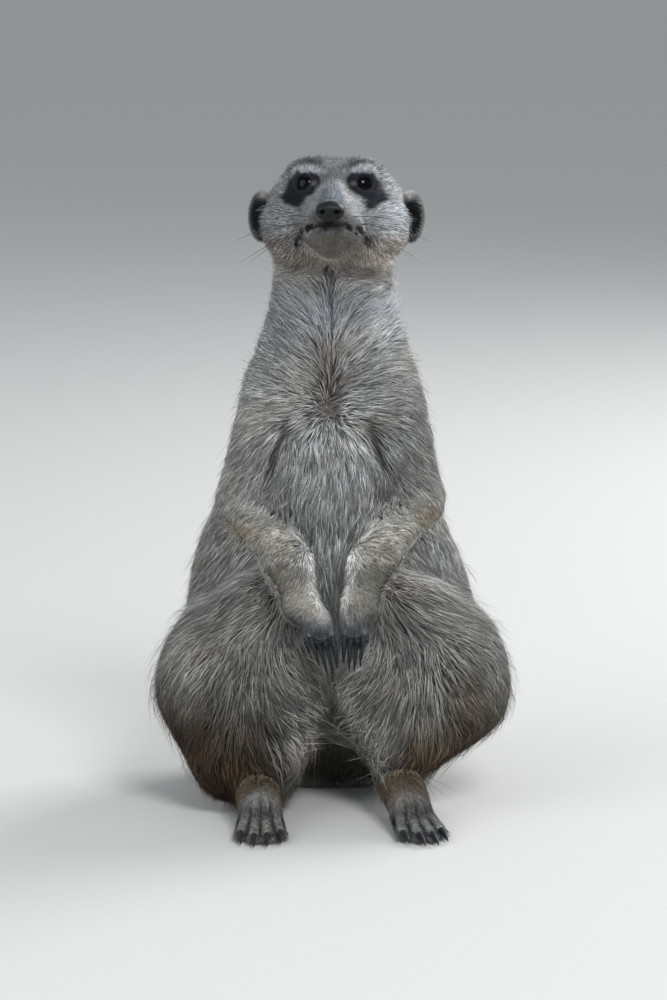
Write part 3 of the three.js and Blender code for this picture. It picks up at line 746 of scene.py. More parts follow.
def outline_distance(x, y, outline):
    """Signed distance to a closed outline, negative inside."""
    best = np.full(x.shape, 1e9)
    sign = np.ones(x.shape)
    for (ax, ay), (bx, by) in zip(outline, np.roll(outline, -1, 0)):
        ex, ey = bx - ax, by - ay
        wx, wy = x - ax, y - ay
        t = np.clip((wx * ex + wy * ey) / (ex * ex + ey * ey), 0, 1)
        best = np.minimum(best, (wx - ex * t) ** 2 + (wy - ey * t) ** 2)
        crosses = ((ay > y) != (by > y)) & (wx < ex * (y - ay) / (ey if ey else 1e-9))
        sign = np.where(crosses, -sign, sign)
    return sign * np.sqrt(best)


def paint(p, normal, share):
    """Colour of the outer coat as linear light, and how far single tufts stray from it."""
    x, y, z = p
    q = to_head(p)
    half = folded(q)
    side = np.where(x < 0, -1.0, 1.0)
    patch = outline_distance(half[0] - EYE_FRONT[0], half[2] - EYE_FRONT[2], EYE_PATCH)
    head, trunk, tail = share["head"], share["trunk"], share["tail"]
    arm = share["arm_left"] + share["arm_right"]
    leg = share["leg_left"] + share["leg_right"]
    front = ramp(q[1], -9, -3)
    foot = leg * foot_amount(p)
    seen = p * column((1, 0, 1))               # flattened from the front
    armpit = np.minimum(cone(seen, (-17, 0, 149), (-24, 0, 131), 0, 0),
                        cone(seen, (12.5, 0, 150.5), (18.5, 0, 132), 0, 0))
    belly_edge = np.interp(z, [60, 100, 137, 151], [10, 15, 19, 3])
    band = 0.5 + 0.5 * np.cos(2 * pi * (z + 2 * wobble(p, 14, 3)) / 14)
    on_back = ramp(y, 12, 26) * ramp(np.abs(x), 44, 24) * ramp(z, 22, 34) * ramp(z, 172, 158)
    elbow_in = ramp(-side * normal[0], 0.3, 0.75)
    out = np.abs(x)

    def spot(x_middle, z_middle, width, height, full=0.35):
        return ramp(np.hypot((x - x_middle) / width, (z - z_middle) / height), 1, full)

    inner_corner = np.hypot(half[0] - EYE_FRONT[0] + 4.9, (half[2] + 0.6) * 1.2)
    # how much of each colour there is, and the colour; later ones cover earlier ones
    layers = {
        "flanks and back": (trunk * ramp(y + 5 * wobble(p, 17, 12), -6, 30), (158, 146, 128)),
        "dark bands of the back": (trunk * on_back * band, (80, 68, 56)),
        "upper chest": (trunk * ramp(z, 168, 190) * ramp(y, 16, -2), (168, 171, 175)),
        "throat": (trunk * ramp(z, 190, 210) * ramp(y, 8, -6), (176, 171, 163)),
        "belly": (
            trunk * ramp(z, 155, 147) * ramp(np.abs(x + 1.5), belly_edge + 3, belly_edge - 3)
            * ramp(y, -10, -20), (188, 189, 189)),
        # painted shade in the creases between the upper arms and the trunk, drawn as seen from the
        # front
        "painted shade in the armpits": (
            (trunk + arm) * 0.85 * ramp(armpit + 0.5 * wobble(p, 4, 33), 2.2, 0.4)
            * ramp(y, -8, -16), (64, 62, 61)),
        "above the whorl": (
            trunk * 0.6 * spot(WHORL[0], WHORL[1] + 13, 10, 20)
            * ramp(y, -13, -19), (116, 110, 106)),
        "whorl": (
            trunk * 0.7 * spot(WHORL[0], WHORL[1] + 1, 4.0, 4.5) * ramp(y, -15, -20), (92, 80, 72)),
        "parting": (
            trunk * ramp(np.abs(x + 0.8), 1.1, 0.3) * ramp(z, 176, 184) * ramp(z, 211, 204)
            * ramp(y, -12, -16), (116, 119, 124)),
        # painted shade in the hollow low on the rump, between the thighs
        "painted shade on the rump between the legs": (
            trunk * ramp(z, 52, 40) * ramp(y, -4, -12) * ramp(out, 26, 18), (74, 72, 69)),
        "hind legs": (leg, (146, 146, 143)),
        "fold between the thighs": (
            leg * ramp(np.abs(x + 2), 4.5, 2) * ramp(z, 62, 54)
            * ramp(y, -30, -38), (168, 164, 156)),
        "shanks": (leg * ramp(z + 5 * wobble(p, 12, 31), 50, 20) * ramp(out, 16, 32), (88, 72, 55)),
        "outer shanks": (
            leg * 0.9 * ramp(z + 5 * wobble(p, 12, 32), 62, 30) * ramp(out, 34, 50), (68, 54, 41)),
        "above the ankles": (leg * 0.8 * ramp(z, 26, 12), (56, 46, 36)),
        "left shank, outer": (leg * 0.5 * spot(50, 44, 11, 22), (112, 94, 74)),
        "left shank, lower": (leg * 0.5 * spot(37, 28, 11, 15), (130, 114, 90)),
        "feet": (foot, (114, 103, 86)),
        "toes": (foot * ramp(y + 2 * wobble(p, 5, 35), -61, -75), (133, 133, 131)),
        # painted shade in the gaps between the toes
        "painted shade between the toes": (
            foot * shade_between_toes(p) * ramp(y, -68, -76) * ramp(z, 2.5, 4.5), (44, 46, 52)),
        "arms": (arm, (166, 166, 163)),
        "forearms": (arm * ramp(z, 120, 104) * ramp(y, -6, -20), (174, 172, 164)),
        "inner forearms": (arm * ramp(z, 122, 108) * ramp(y, -6, -20) * elbow_in, (205, 205, 202)),
        "hands": (arm * ramp(z, 82, 76), (136, 137, 138)),
        "fingers": (arm * ramp(z, 74, 67), (84, 89, 98)),
        # painted shade in the gaps between the fingers
        "painted shade between the fingers": (arm * ramp(z, 75, 69) * shade_between_fingers(p), (40, 44, 52)),
        "left elbow": (arm * 0.5 * spot(35, 113, 8, 7), (164, 144, 114)),
        "right elbow": (arm * 0.45 * spot(-35, 107, 8, 6), (164, 142, 110)),
        "tail": (tail, (156, 144, 126)),
        "tail past its root": (tail * ramp(y + 5 * wobble(p, 9, 34), 46, 84), (152, 134, 106)),
        "tip of the tail": (tail * ramp(y, 182, 204), (46, 39, 34)),
        "head": (head, (170, 172, 175)),
        "crown": (
            head * ramp(q[2], 0.5, 5.5) * ramp(q[1], 8, 2)
            * mix(0.4, 1, ramp(half[0], 16, 8)), (84, 85, 89)),
        "behind the cheeks": (head * ramp(q[1], -12, -22) * ramp(q[2], -22, -10), (134, 130, 124)),
        "forehead": (head * ramp(half[0], 6.5, 2.5) * ramp(q[2], -3, 2) * front, (116, 117, 121)),
        "brows": (
            head * (0.62 + 0.2 * wobble(p, 1.6, 14) + 0.28 * wobble(p, 0.8, 36))
            * ramp(patch + 0.8 * wobble(p, 3, 13), 4.6, 1.4) * ramp(half[2], 2.0, 4.0)
            * ramp(half[0], 23, 17) * ramp(q[1], -13, -6), (188, 192, 195)),
        "bridge of the nose": (
            head * 0.8 * ramp(half[0], 7.2, 3.6) * ramp(half[0] - 0.38 * (q[1] - 6), 1.8, -1.4)
            * ramp(q[1], 4, 10) * ramp(q[2], -17, -12), (116, 124, 134)),
        "muzzle": (head * ramp(q[1], 9, 15) * ramp(q[2], -13.5, -17), (136, 137, 139)),
        "lower cheeks": (head * ramp(q[2], -16, -24), (142, 137, 130)),
        "under the chin": (head * ramp(q[2], -21, -27) * ramp(q[1], 10, 0), (164, 158, 150)),
        "beside the nose": (
            head * ramp(half[0], 8, 5) * ramp(q[1], 17, 21) * ramp(q[2], -11, -15)
            * ramp(q[2], -22.5, -20), (104, 102, 102)),
        "under the nose": (
            head * ramp(half[0], 5.4, 3) * ramp(q[1], 20, 23.5) * ramp(q[2], -16, -18)
            * ramp(q[2], -23, -21), (62, 56, 52)),
        "eye patches": (
            head * ramp(patch + 0.5 * wobble(p, 2.0, 9) + 0.4 * wobble(p, 0.8, 38), 0.9, -0.8)
            * front, (38, 41, 47)),
        "inner corners of the eyes": (head * ramp(inner_corner, 1.8, 0.7) * front, (104, 98, 100)),
    }

    tone = np.broadcast_to(shade(166, 166, 165), p.shape).copy()
    for amount, colour in layers.values():
        tone = mix(tone, shade(*colour), amount)
    # painted light and shade: each place on the front is made lighter or darker by its gain
    for *place, gain in PAINTED_LIGHT_AND_SHADE:
        tone = tone * (1 + gain * spot(*place, 0.3) * ramp(y, 12, 0) * (1 - head))
    # painted light and shade on the cheeks: the cheek at -X darker, the one at +X lighter, as if lit
    # from +X
    cheek = head * ramp(half[0], 7, 14) * ramp(q[2], 4, -4)
    tone = tone * (1 + cheek * mix(-0.22, 0.38, ramp(x, -10, 10)))

    # the lips are darkest at their corners, and broken by pale hair
    mouth = mouth_distance(half)
    under_lip = ramp(mouth, 4.6, 2.4) * ramp(q[2], -20.2, -22) * (0.6 + 0.4 * wobble(p, 1.7, 17))
    tone = mix(tone, shade(150, 152, 156), head * 0.8 * under_lip)
    mouth = mouth + 0.7 * wobble(p, 1.7, 11) + 0.4 * wobble(p, 4, 15)
    lip = np.interp(half[0], [0, 8, 11, 13], [0.9, 1.2, 1.8, 1.2])
    broken = 1 - 0.8 * ramp(wobble(p, 1.5, 16), 0.1, 0.7) * ramp(half[0], 2, 5)
    tone = mix(tone, shade(34, 33, 35), head * broken * ramp(mouth, lip + 0.6, lip - 0.5))

    # dark ears with a pale rim on top, then soft unevenness all over
    ear = ear_amount(half)
    tone = mix(tone, shade(16, 18, 21), ear)
    tone = mix(tone, shade(176, 174, 170), ear * ramp(half[2], -5, -2.5) * ramp(half[0], 31.5, 28))
    tone = tone * (1 + (0.12 + 0.08 * leg) * wobble(p, 9, 5) + 0.09 * wobble(p, 4, 6))
    warmth = 0.045 * (leg + 0.5 * trunk) * np.maximum(wobble(p, 12, 37), -0.1)
    tone = tone * (1 + column((1, 0, -1)) * warmth)

    stray = mix(0.85 + 0.25 * leg + 0.3 * arm * ramp(z, 118, 104), 1.0, head)
    stray = mix(stray, 0.25, head * ramp(patch, 0.8, -0.2) * front)
    stray = mix(stray, 0.15, ear)
    return tone, stray


def shade_between_digits(p, digits, axis, start, end):
    """1 in the gaps between fingers or toes, 0 along them, seen along an axis: the places of painted
    shade between the digits.
    """
    keep = np.ones(3)
    keep[axis] = 0
    gap = np.ones(p.shape[1])
    for side in SIDES.values():
        for root, tip in digits(side):
            line = cone(p * column(keep), root[:3] * keep, tip[:3] * keep, 0, 0)
            gap = np.minimum(gap, ramp(line, start, end))
    return gap


def shade_between_toes(p):
    return shade_between_digits(p, toe_knots, 2, 1.2, 2.2)


def shade_between_fingers(p):
    return shade_between_digits(p, finger_knots, 1, 0.5, 1.3)


def ear_amount(half):
    """1 on the ears, 0 on the head behind them."""
    near = ellipsoid(half, EAR_MIDDLE, EAR_RADII)
    return ramp(near, 0.9, -0.1) * ramp(half[0], 22.5, 24.5)


# ---------------------------------------------------------------- pieces and finishes

HEAD_NODES = ("head", "jaw", "ear_left", "ear_right")
TRUNK_NODES = ("neck", "chest", "belly", "rump")
TAIL_NODES = ("tail_base", "tail_middle", "tail_tip")
ARM_NODES = ("upper_arm_", "forearm_", "hand_")
LEG_NODES = ("thigh_", "shank_", "foot_")


def limb_nodes(stems, side):
    return tuple(stem + side for stem in stems)


FLESH = (*HEAD_NODES, *TRUNK_NODES, *TAIL_NODES,
         *(n for side in SIDES for n in limb_nodes(ARM_NODES + LEG_NODES, side)))


def new_material(name, **values):
    """A Principled material; values name its sockets. Returns it, its tree and the shader."""
    material = bpy.data.materials.new(name)
    material.use_nodes = True
    shader = material.node_tree.nodes["Principled BSDF"]
    for socket, value in values.items():
        shader.inputs[socket.replace("_", " ")].default_value = value
    return material, material.node_tree, shader


def tinted(name, roughness, noise_scale, bump_height, noise_strength=0.18, **values):
    """A finish that takes its colour from `tint`, with fine noise in colour and relief."""
    material, tree, shader = new_material(name, Roughness=roughness, **values)
    nodes, link = tree.nodes, tree.links.new
    tint = nodes.new("ShaderNodeAttribute")
    tint.attribute_name = "tint"
    place = nodes.new("ShaderNodeTexCoord")
    noise = nodes.new("ShaderNodeTexNoise")
    noise.inputs["Scale"].default_value = noise_scale
    noise.inputs["Detail"].default_value = 3
    link(place.outputs["Object"], noise.inputs["Vector"])
    level = nodes.new("ShaderNodeMapRange")
    level.inputs["To Min"].default_value = 1 - noise_strength
    level.inputs["To Max"].default_value = 1 + noise_strength
    link(noise.outputs["Fac"], level.inputs["Value"])
    colour = nodes.new("ShaderNodeVectorMath")
    colour.operation = "SCALE"
    link(tint.outputs["Color"], colour.inputs[0])
    link(level.outputs["Result"], colour.inputs["Scale"])
    link(colour.outputs["Vector"], shader.inputs["Base Color"])
    if bump_height:
        bump = nodes.new("ShaderNodeBump")
        bump.inputs["Distance"].default_value = bump_height * MM
        bump.inputs["Strength"].default_value = 0.6
        link(noise.outputs["Fac"], bump.inputs["Height"])
        link(bump.outputs["Normal"], shader.inputs["Normal"])
    return material


HAIR = tinted("hair", 0.62, 900, 0, Specular_IOR_Level=0.3)
SKIN = tinted("skin", 0.85, 1600, 0.35, Specular_IOR_Level=0.2)


def hand_in(piece, material, slot, *nodes):
    """Gives the piece its finish, where one is given, hangs it on the root and hides the parts of the
    model that it stands in for.
    """
    if material:
        piece.data.materials.append(material)
    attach(piece, "root")
    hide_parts(*nodes)


def unwrap(piece):
    """Unwraps the skin into OFBake; returns each triangle's three corners there."""
    piece.data.uv_layers.new(name="OFBake")
    bpy.context.view_layer.objects.active = piece
    piece.select_set(True)
    bpy.ops.object.mode_set(mode="EDIT")
    bpy.ops.mesh.select_all(action="SELECT")
    bpy.ops.uv.smart_project(angle_limit=radians(70), island_margin=0.002)
    bpy.ops.object.mode_set(mode="OBJECT")
    piece.select_set(False)
    uv = np.empty(len(piece.data.loops) * 2, np.float32)
    piece.data.uv_layers["OFBake"].data.foreach_get("uv", uv)
    return uv.reshape(-1, 3, 2)


skin_uv = unwrap(skin)

ground = points.T.astype(np.float32)
skin_parts = body_parts(ground)
skin_share = shares(skin_parts)
tone, _ = paint(ground, skin_normals.T, skin_share)
fine_depth = coat_depth(ground, skin_parts, skin_share)
crown_of_hair = ramp(whorl_distance(ground), 8, 3) * (ground[1] < 0)
tone = tone * (ramp(fine_depth, 3.5, 0.6) * 0.45 + 0.35) * (1 - 0.4 * crown_of_hair)
give(skin.data, "tint", tone.T, "FLOAT_COLOR")
hand_in(skin, SKIN, "coat_grizzled", *FLESH)

# ---------------------------------------------------------------- roots of the tufts

corners = ground.T[faces]                                            # (m, 3, 3)
cross = np.cross(corners[:, 1] - corners[:, 0], corners[:, 2] - corners[:, 0])
area = np.linalg.norm(cross, axis=1) / 2
middle = corners.mean(1).T
face_depth = fine_depth[faces].mean(1)
owner = np.stack(list(skin_share.values()))[:, faces].mean(2).argmax(0)
OWNERS = list(skin_share)


MORE_HAIR = {"head": 1.6, "trunk": 1.25, "arm": 1.3, "leg": 1.4, "tail": 0.62}
BACK_HAIR = 0.65                          # the back's share of the trunk's hair
THICK_HAIR = 1.9                          # how much denser it is at the whorl and the parting
WHORL_REACH, PARTING_REACH, PARTING_X = 9, 4, -0.8


def density():
    """Tufts per square millimetre on each triangle of the skin."""
    rate = np.interp(face_depth, [0.6, 1.2, 2.2, 3.5, 5, 6.5], [7, 6, 4.2, 2.7, 1.85, 1.7])
    rate = rate * np.array([MORE_HAIR[name.split("_")[0]] for name in OWNERS])[owner]
    rate = rate * np.where((owner == OWNERS.index("trunk")) & (middle[1] > 8), BACK_HAIR, 1)
    from_whorl = whorl_distance(middle) / WHORL_REACH
    up_the_neck = (middle[2] > WHORL[1]) & (middle[1] < 0)
    from_parting = np.where(up_the_neck, np.abs(middle[0] - PARTING_X) / PARTING_REACH, 1)
    rate = rate * mix(THICK_HAIR, 1, np.minimum(np.minimum(from_whorl, from_parting), 1))
    return np.where(middle[2] < 0.4, 0, rate)


def scatter(rate):
    """Roots spread evenly: the triangle, and the weights of its corners."""
    total = np.cumsum(area * rate)
    count = int(total[-1])
    spot = (np.arange(count) + random.random(count)) * (total[-1] / count)
    triangle = np.minimum(np.searchsorted(total, spot), len(total) - 1)
    a, b = random.random(count), random.random(count)
    fold = a + b > 1
    a[fold], b[fold] = 1 - a[fold], 1 - b[fold]
    return triangle, np.stack([1 - a - b, a, b])


triangle, weight = scatter(density())
root = np.einsum("kn,nkc->cn", weight, corners[triangle]).astype(np.float32)
root_uv = np.einsum("kn,nkc->nc", weight, skin_uv[triangle])
smooth_normal = unit(np.einsum("kn,nkc->cn", weight, skin_normals[faces[triangle]])).astype(np.float32)
_, root_normal = volume.at(root)
root_normal = np.where(np.isfinite(root_normal), root_normal, smooth_normal)

# no hair on the eyes, in the mouth's groove or on the nose
half = folded(to_head(root))
slit, _ = eye_slit(half)
keep = (slit > 1.25) & (mouth_distance(half) > 0.6)
keep &= ellipsoid(half, NOSE_PAD, NOSE_PAD_RADII) > 0.2
root, root_uv, root_normal = root[:, keep], root_uv[keep], root_normal[:, keep]
half, triangle = half[:, keep], triangle[keep]
parts = body_parts(root)
share = shares(parts)
depth = coat_depth(root, parts, share)
lie = lie_of(root, root_normal, share)
count = root.shape[1]

# ---------------------------------------------------------------- growing the tufts
# A tuft runs from its root over a bend to its tip. Its reach is its length along the skin,
# its rise is the height of its tip as a share of the coat's depth.

LONG_FROM = 1.5                           # a tuft has a bend where the coat is deeper than this
REACH_AT_LEAST, REACH_PER_DEPTH = 1.0, 2.5
EAR_DEPTH, DIGIT_DEPTH = 1.3, 0.6
REACHES, RISES, FLYAWAY_RISES = (0.72, 1.22), (0.62, 1.12), (1.15, 1.75)
FLYAWAYS = 0.06                           # share of tufts that stand off the coat
ROOT_SINK = 0.3                           # roots start this far inside the skin
BEND_ALONG, TIP_ALONG, BEND_HEIGHT = 0.45, 0.55, 0.72
LEADERS, PULLS = 0.07, (0.15, 0.55)
LIGHT_BELOW, PLAIN_BELOW = 0.34, 0.72     # of a draw from 0 to 1; the rest are dark tufts
LIGHT_GAIN, DARK_GAIN, ROOT_GAIN = 1.55, 0.48, 0.42
DARK_TIPS, DARK_TIP_GAIN, LIGHT_TIP_GAIN = 0.3, 0.6, 1.12
LOWEST_BEND, LOWEST_TIP = 0.4, 0.5        # above the floor


def lifted(p, height):
    """p moved to that height over the skin, and the way out of the skin there."""
    d, slope = volume.at(p)
    return p + slope * (height - d), slope


# places: the fringe over the feet, the panel of long hair on the belly, the whorl's short hair
ear = ear_amount(half)
on_leg = share["leg_left"] + share["leg_right"]
on_foot = on_leg * foot_amount(root)
on_hand = (share["arm_left"] + share["arm_right"]) * ramp(root[2], 84, 78)
depth = np.maximum(mix(depth, EAR_DEPTH, ear), DIGIT_DEPTH * np.maximum(on_foot, on_hand))
fringe = (on_leg - on_foot) * ramp(root[2], 52, 34) * ramp(root[2], 12, 26)
between_legs = on_leg * ramp(np.abs(root[0]), 20, 12) * ramp(root[2], 50, 40)
panel = (share["trunk"] * ramp(root[2], 152, 140) * ramp(np.abs(root[0] - WHORL[0]), 22, 16)
         * ramp(root[1], -10, -20))
from_whorl = whorl_distance(root)
short = share["trunk"] * ramp(from_whorl, 9, 2) * (root[1] < 0)
ankle = on_leg * ramp(np.abs(foot_amount(root) - 0.5), 0.5, 0.4) * (root[1] < -40)

# reach: shorter on the head and the ankles, longer at the ends of the digits, off the floor
longer = 1 + 0.8 * fringe + 0.45 * panel + 0.45 * on_leg * (1 - on_foot)
longer = longer - 0.45 * short - 0.7 * between_legs
reach = (REACH_AT_LEAST + REACH_PER_DEPTH * depth) * longer
reach *= mix(1, 0.66, share["head"])
reach *= 1 - 0.4 * ankle
digits = np.maximum(on_foot * ramp(root[1], -74, -80), on_hand * ramp(root[2], 75, 70))
digits *= random.random(count) < 0.75
reach = reach + 0.8 * np.maximum(on_foot, on_hand) + (1.2 + 1.4 * on_hand) * digits
reach *= random.uniform(*REACHES, count)
reach = np.minimum(reach, 3 + (root[2] - 1) / np.maximum(-lie[2], 0.2))

# rise, and the few flyaways
rise = random.uniform(*RISES, count)
rise *= 1 - 0.35 * ankle
flyaway = (random.random(count) < FLYAWAYS) & (depth > LONG_FROM)
flyaway &= ~((on_leg > 0.4) & (root[2] < 32))
rise[flyaway] *= random.uniform(*FLYAWAY_RISES, flyaway.sum())

# the lie sways in broad waves, and each tuft strays a little; at the whorl some point back
across = np.cross(root_normal.T, lie.T).T
sway = 0.22 * wobble(root, 13, 21) + 0.2 * wobble(root, 5, 22) * (1 - share["head"])
scatter_of_lie = 0.22 + 0.5 * ramp(from_whorl, 6, 2) * (root[1] < 0)
lie = unit(lie + across * (sway + random.normal(0, 1, count) * scatter_of_lie))
lie *= np.where((from_whorl < 4.5) & (root[1] < 0) & (random.random(count) < 0.5), -1, 1)

# bend and tip follow the skin; hair at the ends of the digits runs on past them
base = root - root_normal * ROOT_SINK
free_bend = base + lie * reach * BEND_ALONG
bend, slope = lifted(free_bend, depth * rise * BEND_HEIGHT)
bend = mix(bend, free_bend + root_normal * 0.5, 0.8 * digits)
onward = lay(lie, slope)
free_tip = bend + onward * reach * TIP_ALONG
tip_depth = np.minimum(coat_depth(free_tip, body_parts(free_tip)) + 0.4, depth)
tip, _ = lifted(free_tip, mix(depth, tip_depth, 0.85) * rise)
tip = mix(tip, bend + lie * reach * 0.6 - root_normal * ROOT_SINK, digits)

# clumps: tips drawn towards the tip of the nearest leading tuft
rate = LEADERS / np.maximum(depth, 1) ** 0.6
leaders = np.nonzero((random.random(count) < np.clip(rate, 0, 1)) & ~flyaway)[0]
tree = KDTree(len(leaders))
for i, k in enumerate(leaders):
    tree.insert(root[:, k], i)
tree.balance()
lead = leaders[np.array([tree.find(place)[1] for place in root.T])]
pull = random.uniform(*PULLS, count) * ramp(depth, 0.8, 3) * ~flyaway * mix(1, 0.4, share["head"])
pull *= 1 + 0.35 * np.maximum(panel, on_leg)
gap = tip[:, lead] - tip
pull *= ramp(length(gap), depth * 3 + 3, depth * 1.2 + 1)
pull *= owner[triangle[lead]] == owner[triangle]
tip = tip + gap * pull
bend = bend + (bend[:, lead] - bend) * pull * 0.4
tip[2] = np.maximum(tip[2], LOWEST_TIP)
bend[2] = np.maximum(bend[2], LOWEST_BEND)

# thickness: coarser on the forearms and feet
thickness = np.interp(depth, [0.6, 1.5, 3, 6], [0.18, 0.22, 0.29, 0.36])
thickness *= random.uniform(0.7, 1.3, count)
on_forearm = (share["arm_left"] + share["arm_right"]) * ramp(root[2], 116, 106)
thickness *= np.where(flyaway, 0.6, 1) * (1 + 0.45 * np.maximum(on_forearm, on_foot))

# colour at the root, the bend and the tip of light, plain and dark tufts
tone, stray = paint(bend, slope, share)
kind = random.random(count)
light = kind < LIGHT_BELOW
strength = np.where(light, LIGHT_GAIN, np.where(kind < PLAIN_BELOW, 1.0, DARK_GAIN))
strength = 1 + (strength - 1) * stray
strength = strength * mix(1, random.normal(1, 0.09, count)[lead], np.minimum(stray, 1))
dark_tip = ~light & (random.random(count) < DARK_TIPS)
tip_gain = np.where(light, LIGHT_TIP_GAIN, np.where(dark_tip, DARK_TIP_GAIN, 1.0))
levels = [tone * ROOT_GAIN, tone * strength, tone * strength * mix(1, tip_gain, stray)]

# no tuft ends in front of an open eye, and none crosses the gap between the feet
tips_slit, _ = eye_slit(folded(to_head(tip)))
in_gap = (root[2] < 36) & (np.abs(root[0]) < 20) & (root[1] < -8)
good = (tips_slit > 1.1) & ~(in_gap & (np.abs(tip[0] - root[0]) > 7))


FLATNESS = 0.6


def ring(centre, along, up, width):
    """Three corners round a tuft that is wider across the skin than it is thick."""
    wide = unit(np.cross(along.T, up.T).T)
    over = np.cross(wide.T, along.T).T
    angles = (radians(90), radians(210), radians(330))
    return [centre + (wide * cos(a) + over * sin(a) * FLATNESS) * width / 2 for a in angles]


# a long tuft swells from its root to a bend and runs out to a point; a short one is a spike
LONG_FACES = np.array([(0, 2, 1), (0, 3, 2), (0, 1, 3), (1, 2, 4), (2, 3, 4), (3, 1, 4)])
SHORT_FACES = np.array([(0, 2, 1), (0, 1, 3), (1, 2, 3), (2, 0, 3)])
PATCH = 0.0015                            # a tuft's patch of the skin's UV map
LONG_PATCH = PATCH * np.array([(0, -1), (-1, 0), (0, 0), (1, 0), (0, 1)])
SHORT_PATCH = PATCH * np.array([(0, -1), (-1, -1), (1, -1), (0, 1)])


def coat_piece(name, chosen, long, slot, nodes):
    """One piece of the coat, from the chosen tufts."""
    start, middle, end = base[:, chosen], bend[:, chosen], tip[:, chosen]
    if long:
        corners = ring(middle, unit(end - start), slope[:, chosen], thickness[chosen])
        rows = [start] + corners + [end]
        shades = [levels[0]] + [levels[1]] * 3 + [levels[2]]
        shape, patch = LONG_FACES, LONG_PATCH
    else:
        corners = ring(start, unit(end - start), root_normal[:, chosen], thickness[chosen])
        rows = corners + [end]
        shades = [levels[1] * 0.7] * 3 + [levels[2]]
        shape, patch = SHORT_FACES, SHORT_PATCH
    size = len(rows)
    corners = np.stack(rows, 0).transpose(2, 0, 1).reshape(-1, 3)     # tuft, corner, xyz
    colours = np.stack([s[:, chosen] for s in shades], 0).transpose(2, 0, 1).reshape(-1, 3)
    triangles = (np.arange(len(chosen))[:, None, None] * size + shape[None]).reshape(-1, 3)
    piece = new_object(name, corners, triangles)
    give(piece.data, "tint", colours, "FLOAT_COLOR")
    uv = (root_uv[chosen][:, None] + patch[None]).reshape(-1, 2)
    layer = piece.data.uv_layers.new(name="OFBake")
    layer.data.foreach_set("uv", np.clip(uv[triangles.ravel()], 0, 1).astype(np.float32).ravel())
    hand_in(piece, HAIR, slot, *nodes)


def owned_by(part):
    return owner[triangle] == OWNERS.index(part)


front = root[1] < 0
GROUPS = {
    "head": ("coat_pale", HEAD_NODES, owned_by("head")),
    "trunk_front": ("coat_grizzled", TRUNK_NODES, owned_by("trunk") & front),
    "trunk_back": ("coat_grizzled", TRUNK_NODES, owned_by("trunk") & ~front),
    "tail": ("coat_tan", TAIL_NODES, owned_by("tail")),
}
for side in SIDES:
    for limb, slot, nodes in (("arm_", "coat_pale", ARM_NODES), ("leg_", "coat_brown", LEG_NODES)):
        GROUPS[limb + side] = (slot, limb_nodes(nodes, side), owned_by(limb + side))

PIECE_LIMIT = 190_000                    # triangles in one piece of the coat
for group, (slot, nodes, member) in GROUPS.items():
    for long in (True, False):
        chosen = np.nonzero(member & good & ((depth > LONG_FROM) == long))[0]
        if not len(chosen):
            continue
        most = PIECE_LIMIT // (len(LONG_FACES) if long else len(SHORT_FACES))
        chosen = chosen[np.argsort(-root[2, chosen], kind="stable")]
        for i in range(0, len(chosen), most):
            name = f"coat_{group}_{'long' if long else 'short'}_{i // most + 1}"
            coat_piece(name, chosen[i:i + most], long, slot, nodes)

# ---------------------------------------------------------------- eyes, nose, claws, whiskers


def turned(profile, ring_count, to_world):
    """A closed surface of revolution, from (along, radius) points between two poles."""
    angles = np.linspace(0, 2 * pi, ring_count, endpoint=False)
    points = [to_world(profile[0][0], 0, 0)]
    for along, radius in profile[1:-1]:
        points += [to_world(along, radius * cos(a), radius * sin(a)) for a in angles]
    points.append(to_world(profile[-1][0], 0, 0))
    faces = []
    last = len(points) - 1
    rows = len(profile) - 2
    for i in range(ring_count):
        j = (i + 1) % ring_count
        faces.append((0, 1 + i, 1 + j))
        for row in range(rows - 1):
            a, b = 1 + row * ring_count, 1 + (row + 1) * ring_count
            faces.append((a + i, b + i, b + j, a + j))
        faces.append((last, last - ring_count + j, last - ring_count + i))
    return np.array(points), faces


def outward(piece):
    """Turns the faces of a closed piece outwards."""
    work = bmesh.new()
    work.from_mesh(piece.data)
    bmesh.ops.recalc_face_normals(work, faces=work.faces)
    work.to_mesh(piece.data)
    work.free()


EYE = tinted("eye", 0.06, 700, 0, 0.1, Specular_IOR_Level=0.13)
NOSE_LEATHER = tinted("nose", 0.42, 2600, 0.22, 0.15, Specular_IOR_Level=0.3)
CLAW = tinted("claw", 0.5, 1500, 0.04, 0.15, Specular_IOR_Level=0.3)
WHISKER = tinted("whisker", 0.4, 500, 0, 0.1)

PUPIL_EDGE, IRIS_EDGE = radians(19), radians(46)
EYE_ROWS, EYE_SIDES = 49, 40
CORNEA_RISE, CORNEA_EDGE = 0.12, radians(36)
for name, side in SIDES.items():
    look = EYE_LOOK * (side, 1, 1)
    wide = direction(np.cross(look, (0, 0, 1)))
    over = np.cross(wide, look)
    centre = EYE_MIDDLE * (side, 1, 1)

    def to_world(along, a, b):
        local = centre + look * along + wide * a + over * b
        return from_head(local.reshape(3, 1).astype(np.float32))[:, 0]
    turns = np.linspace(0, pi, EYE_ROWS)
    bulge = EYE_RADIUS - CORNEA_RISE + CORNEA_RISE * np.exp(-(turns / CORNEA_EDGE) ** 4)
    profile = [(r * cos(t), r * sin(t)) for t, r in zip(turns, bulge)]
    eye_points, eye_faces = turned(profile, EYE_SIDES, to_world)
    eye = new_object("eyeball_" + name, eye_points, eye_faces)
    outward(eye)
    bearing = np.concatenate([[0], np.repeat(turns[1:-1], EYE_SIDES), [pi]])
    colour = np.where(bearing < PUPIL_EDGE, shade(3, 3, 4), shade(9, 8, 7))
    colour = mix(colour, shade(9, 8, 8), ramp(bearing, IRIS_EDGE * 0.86, IRIS_EDGE))
    give(eye.data, "tint", colour.T, "FLOAT_COLOR")
    hand_in(eye, EYE, "eye", "eye_" + name)


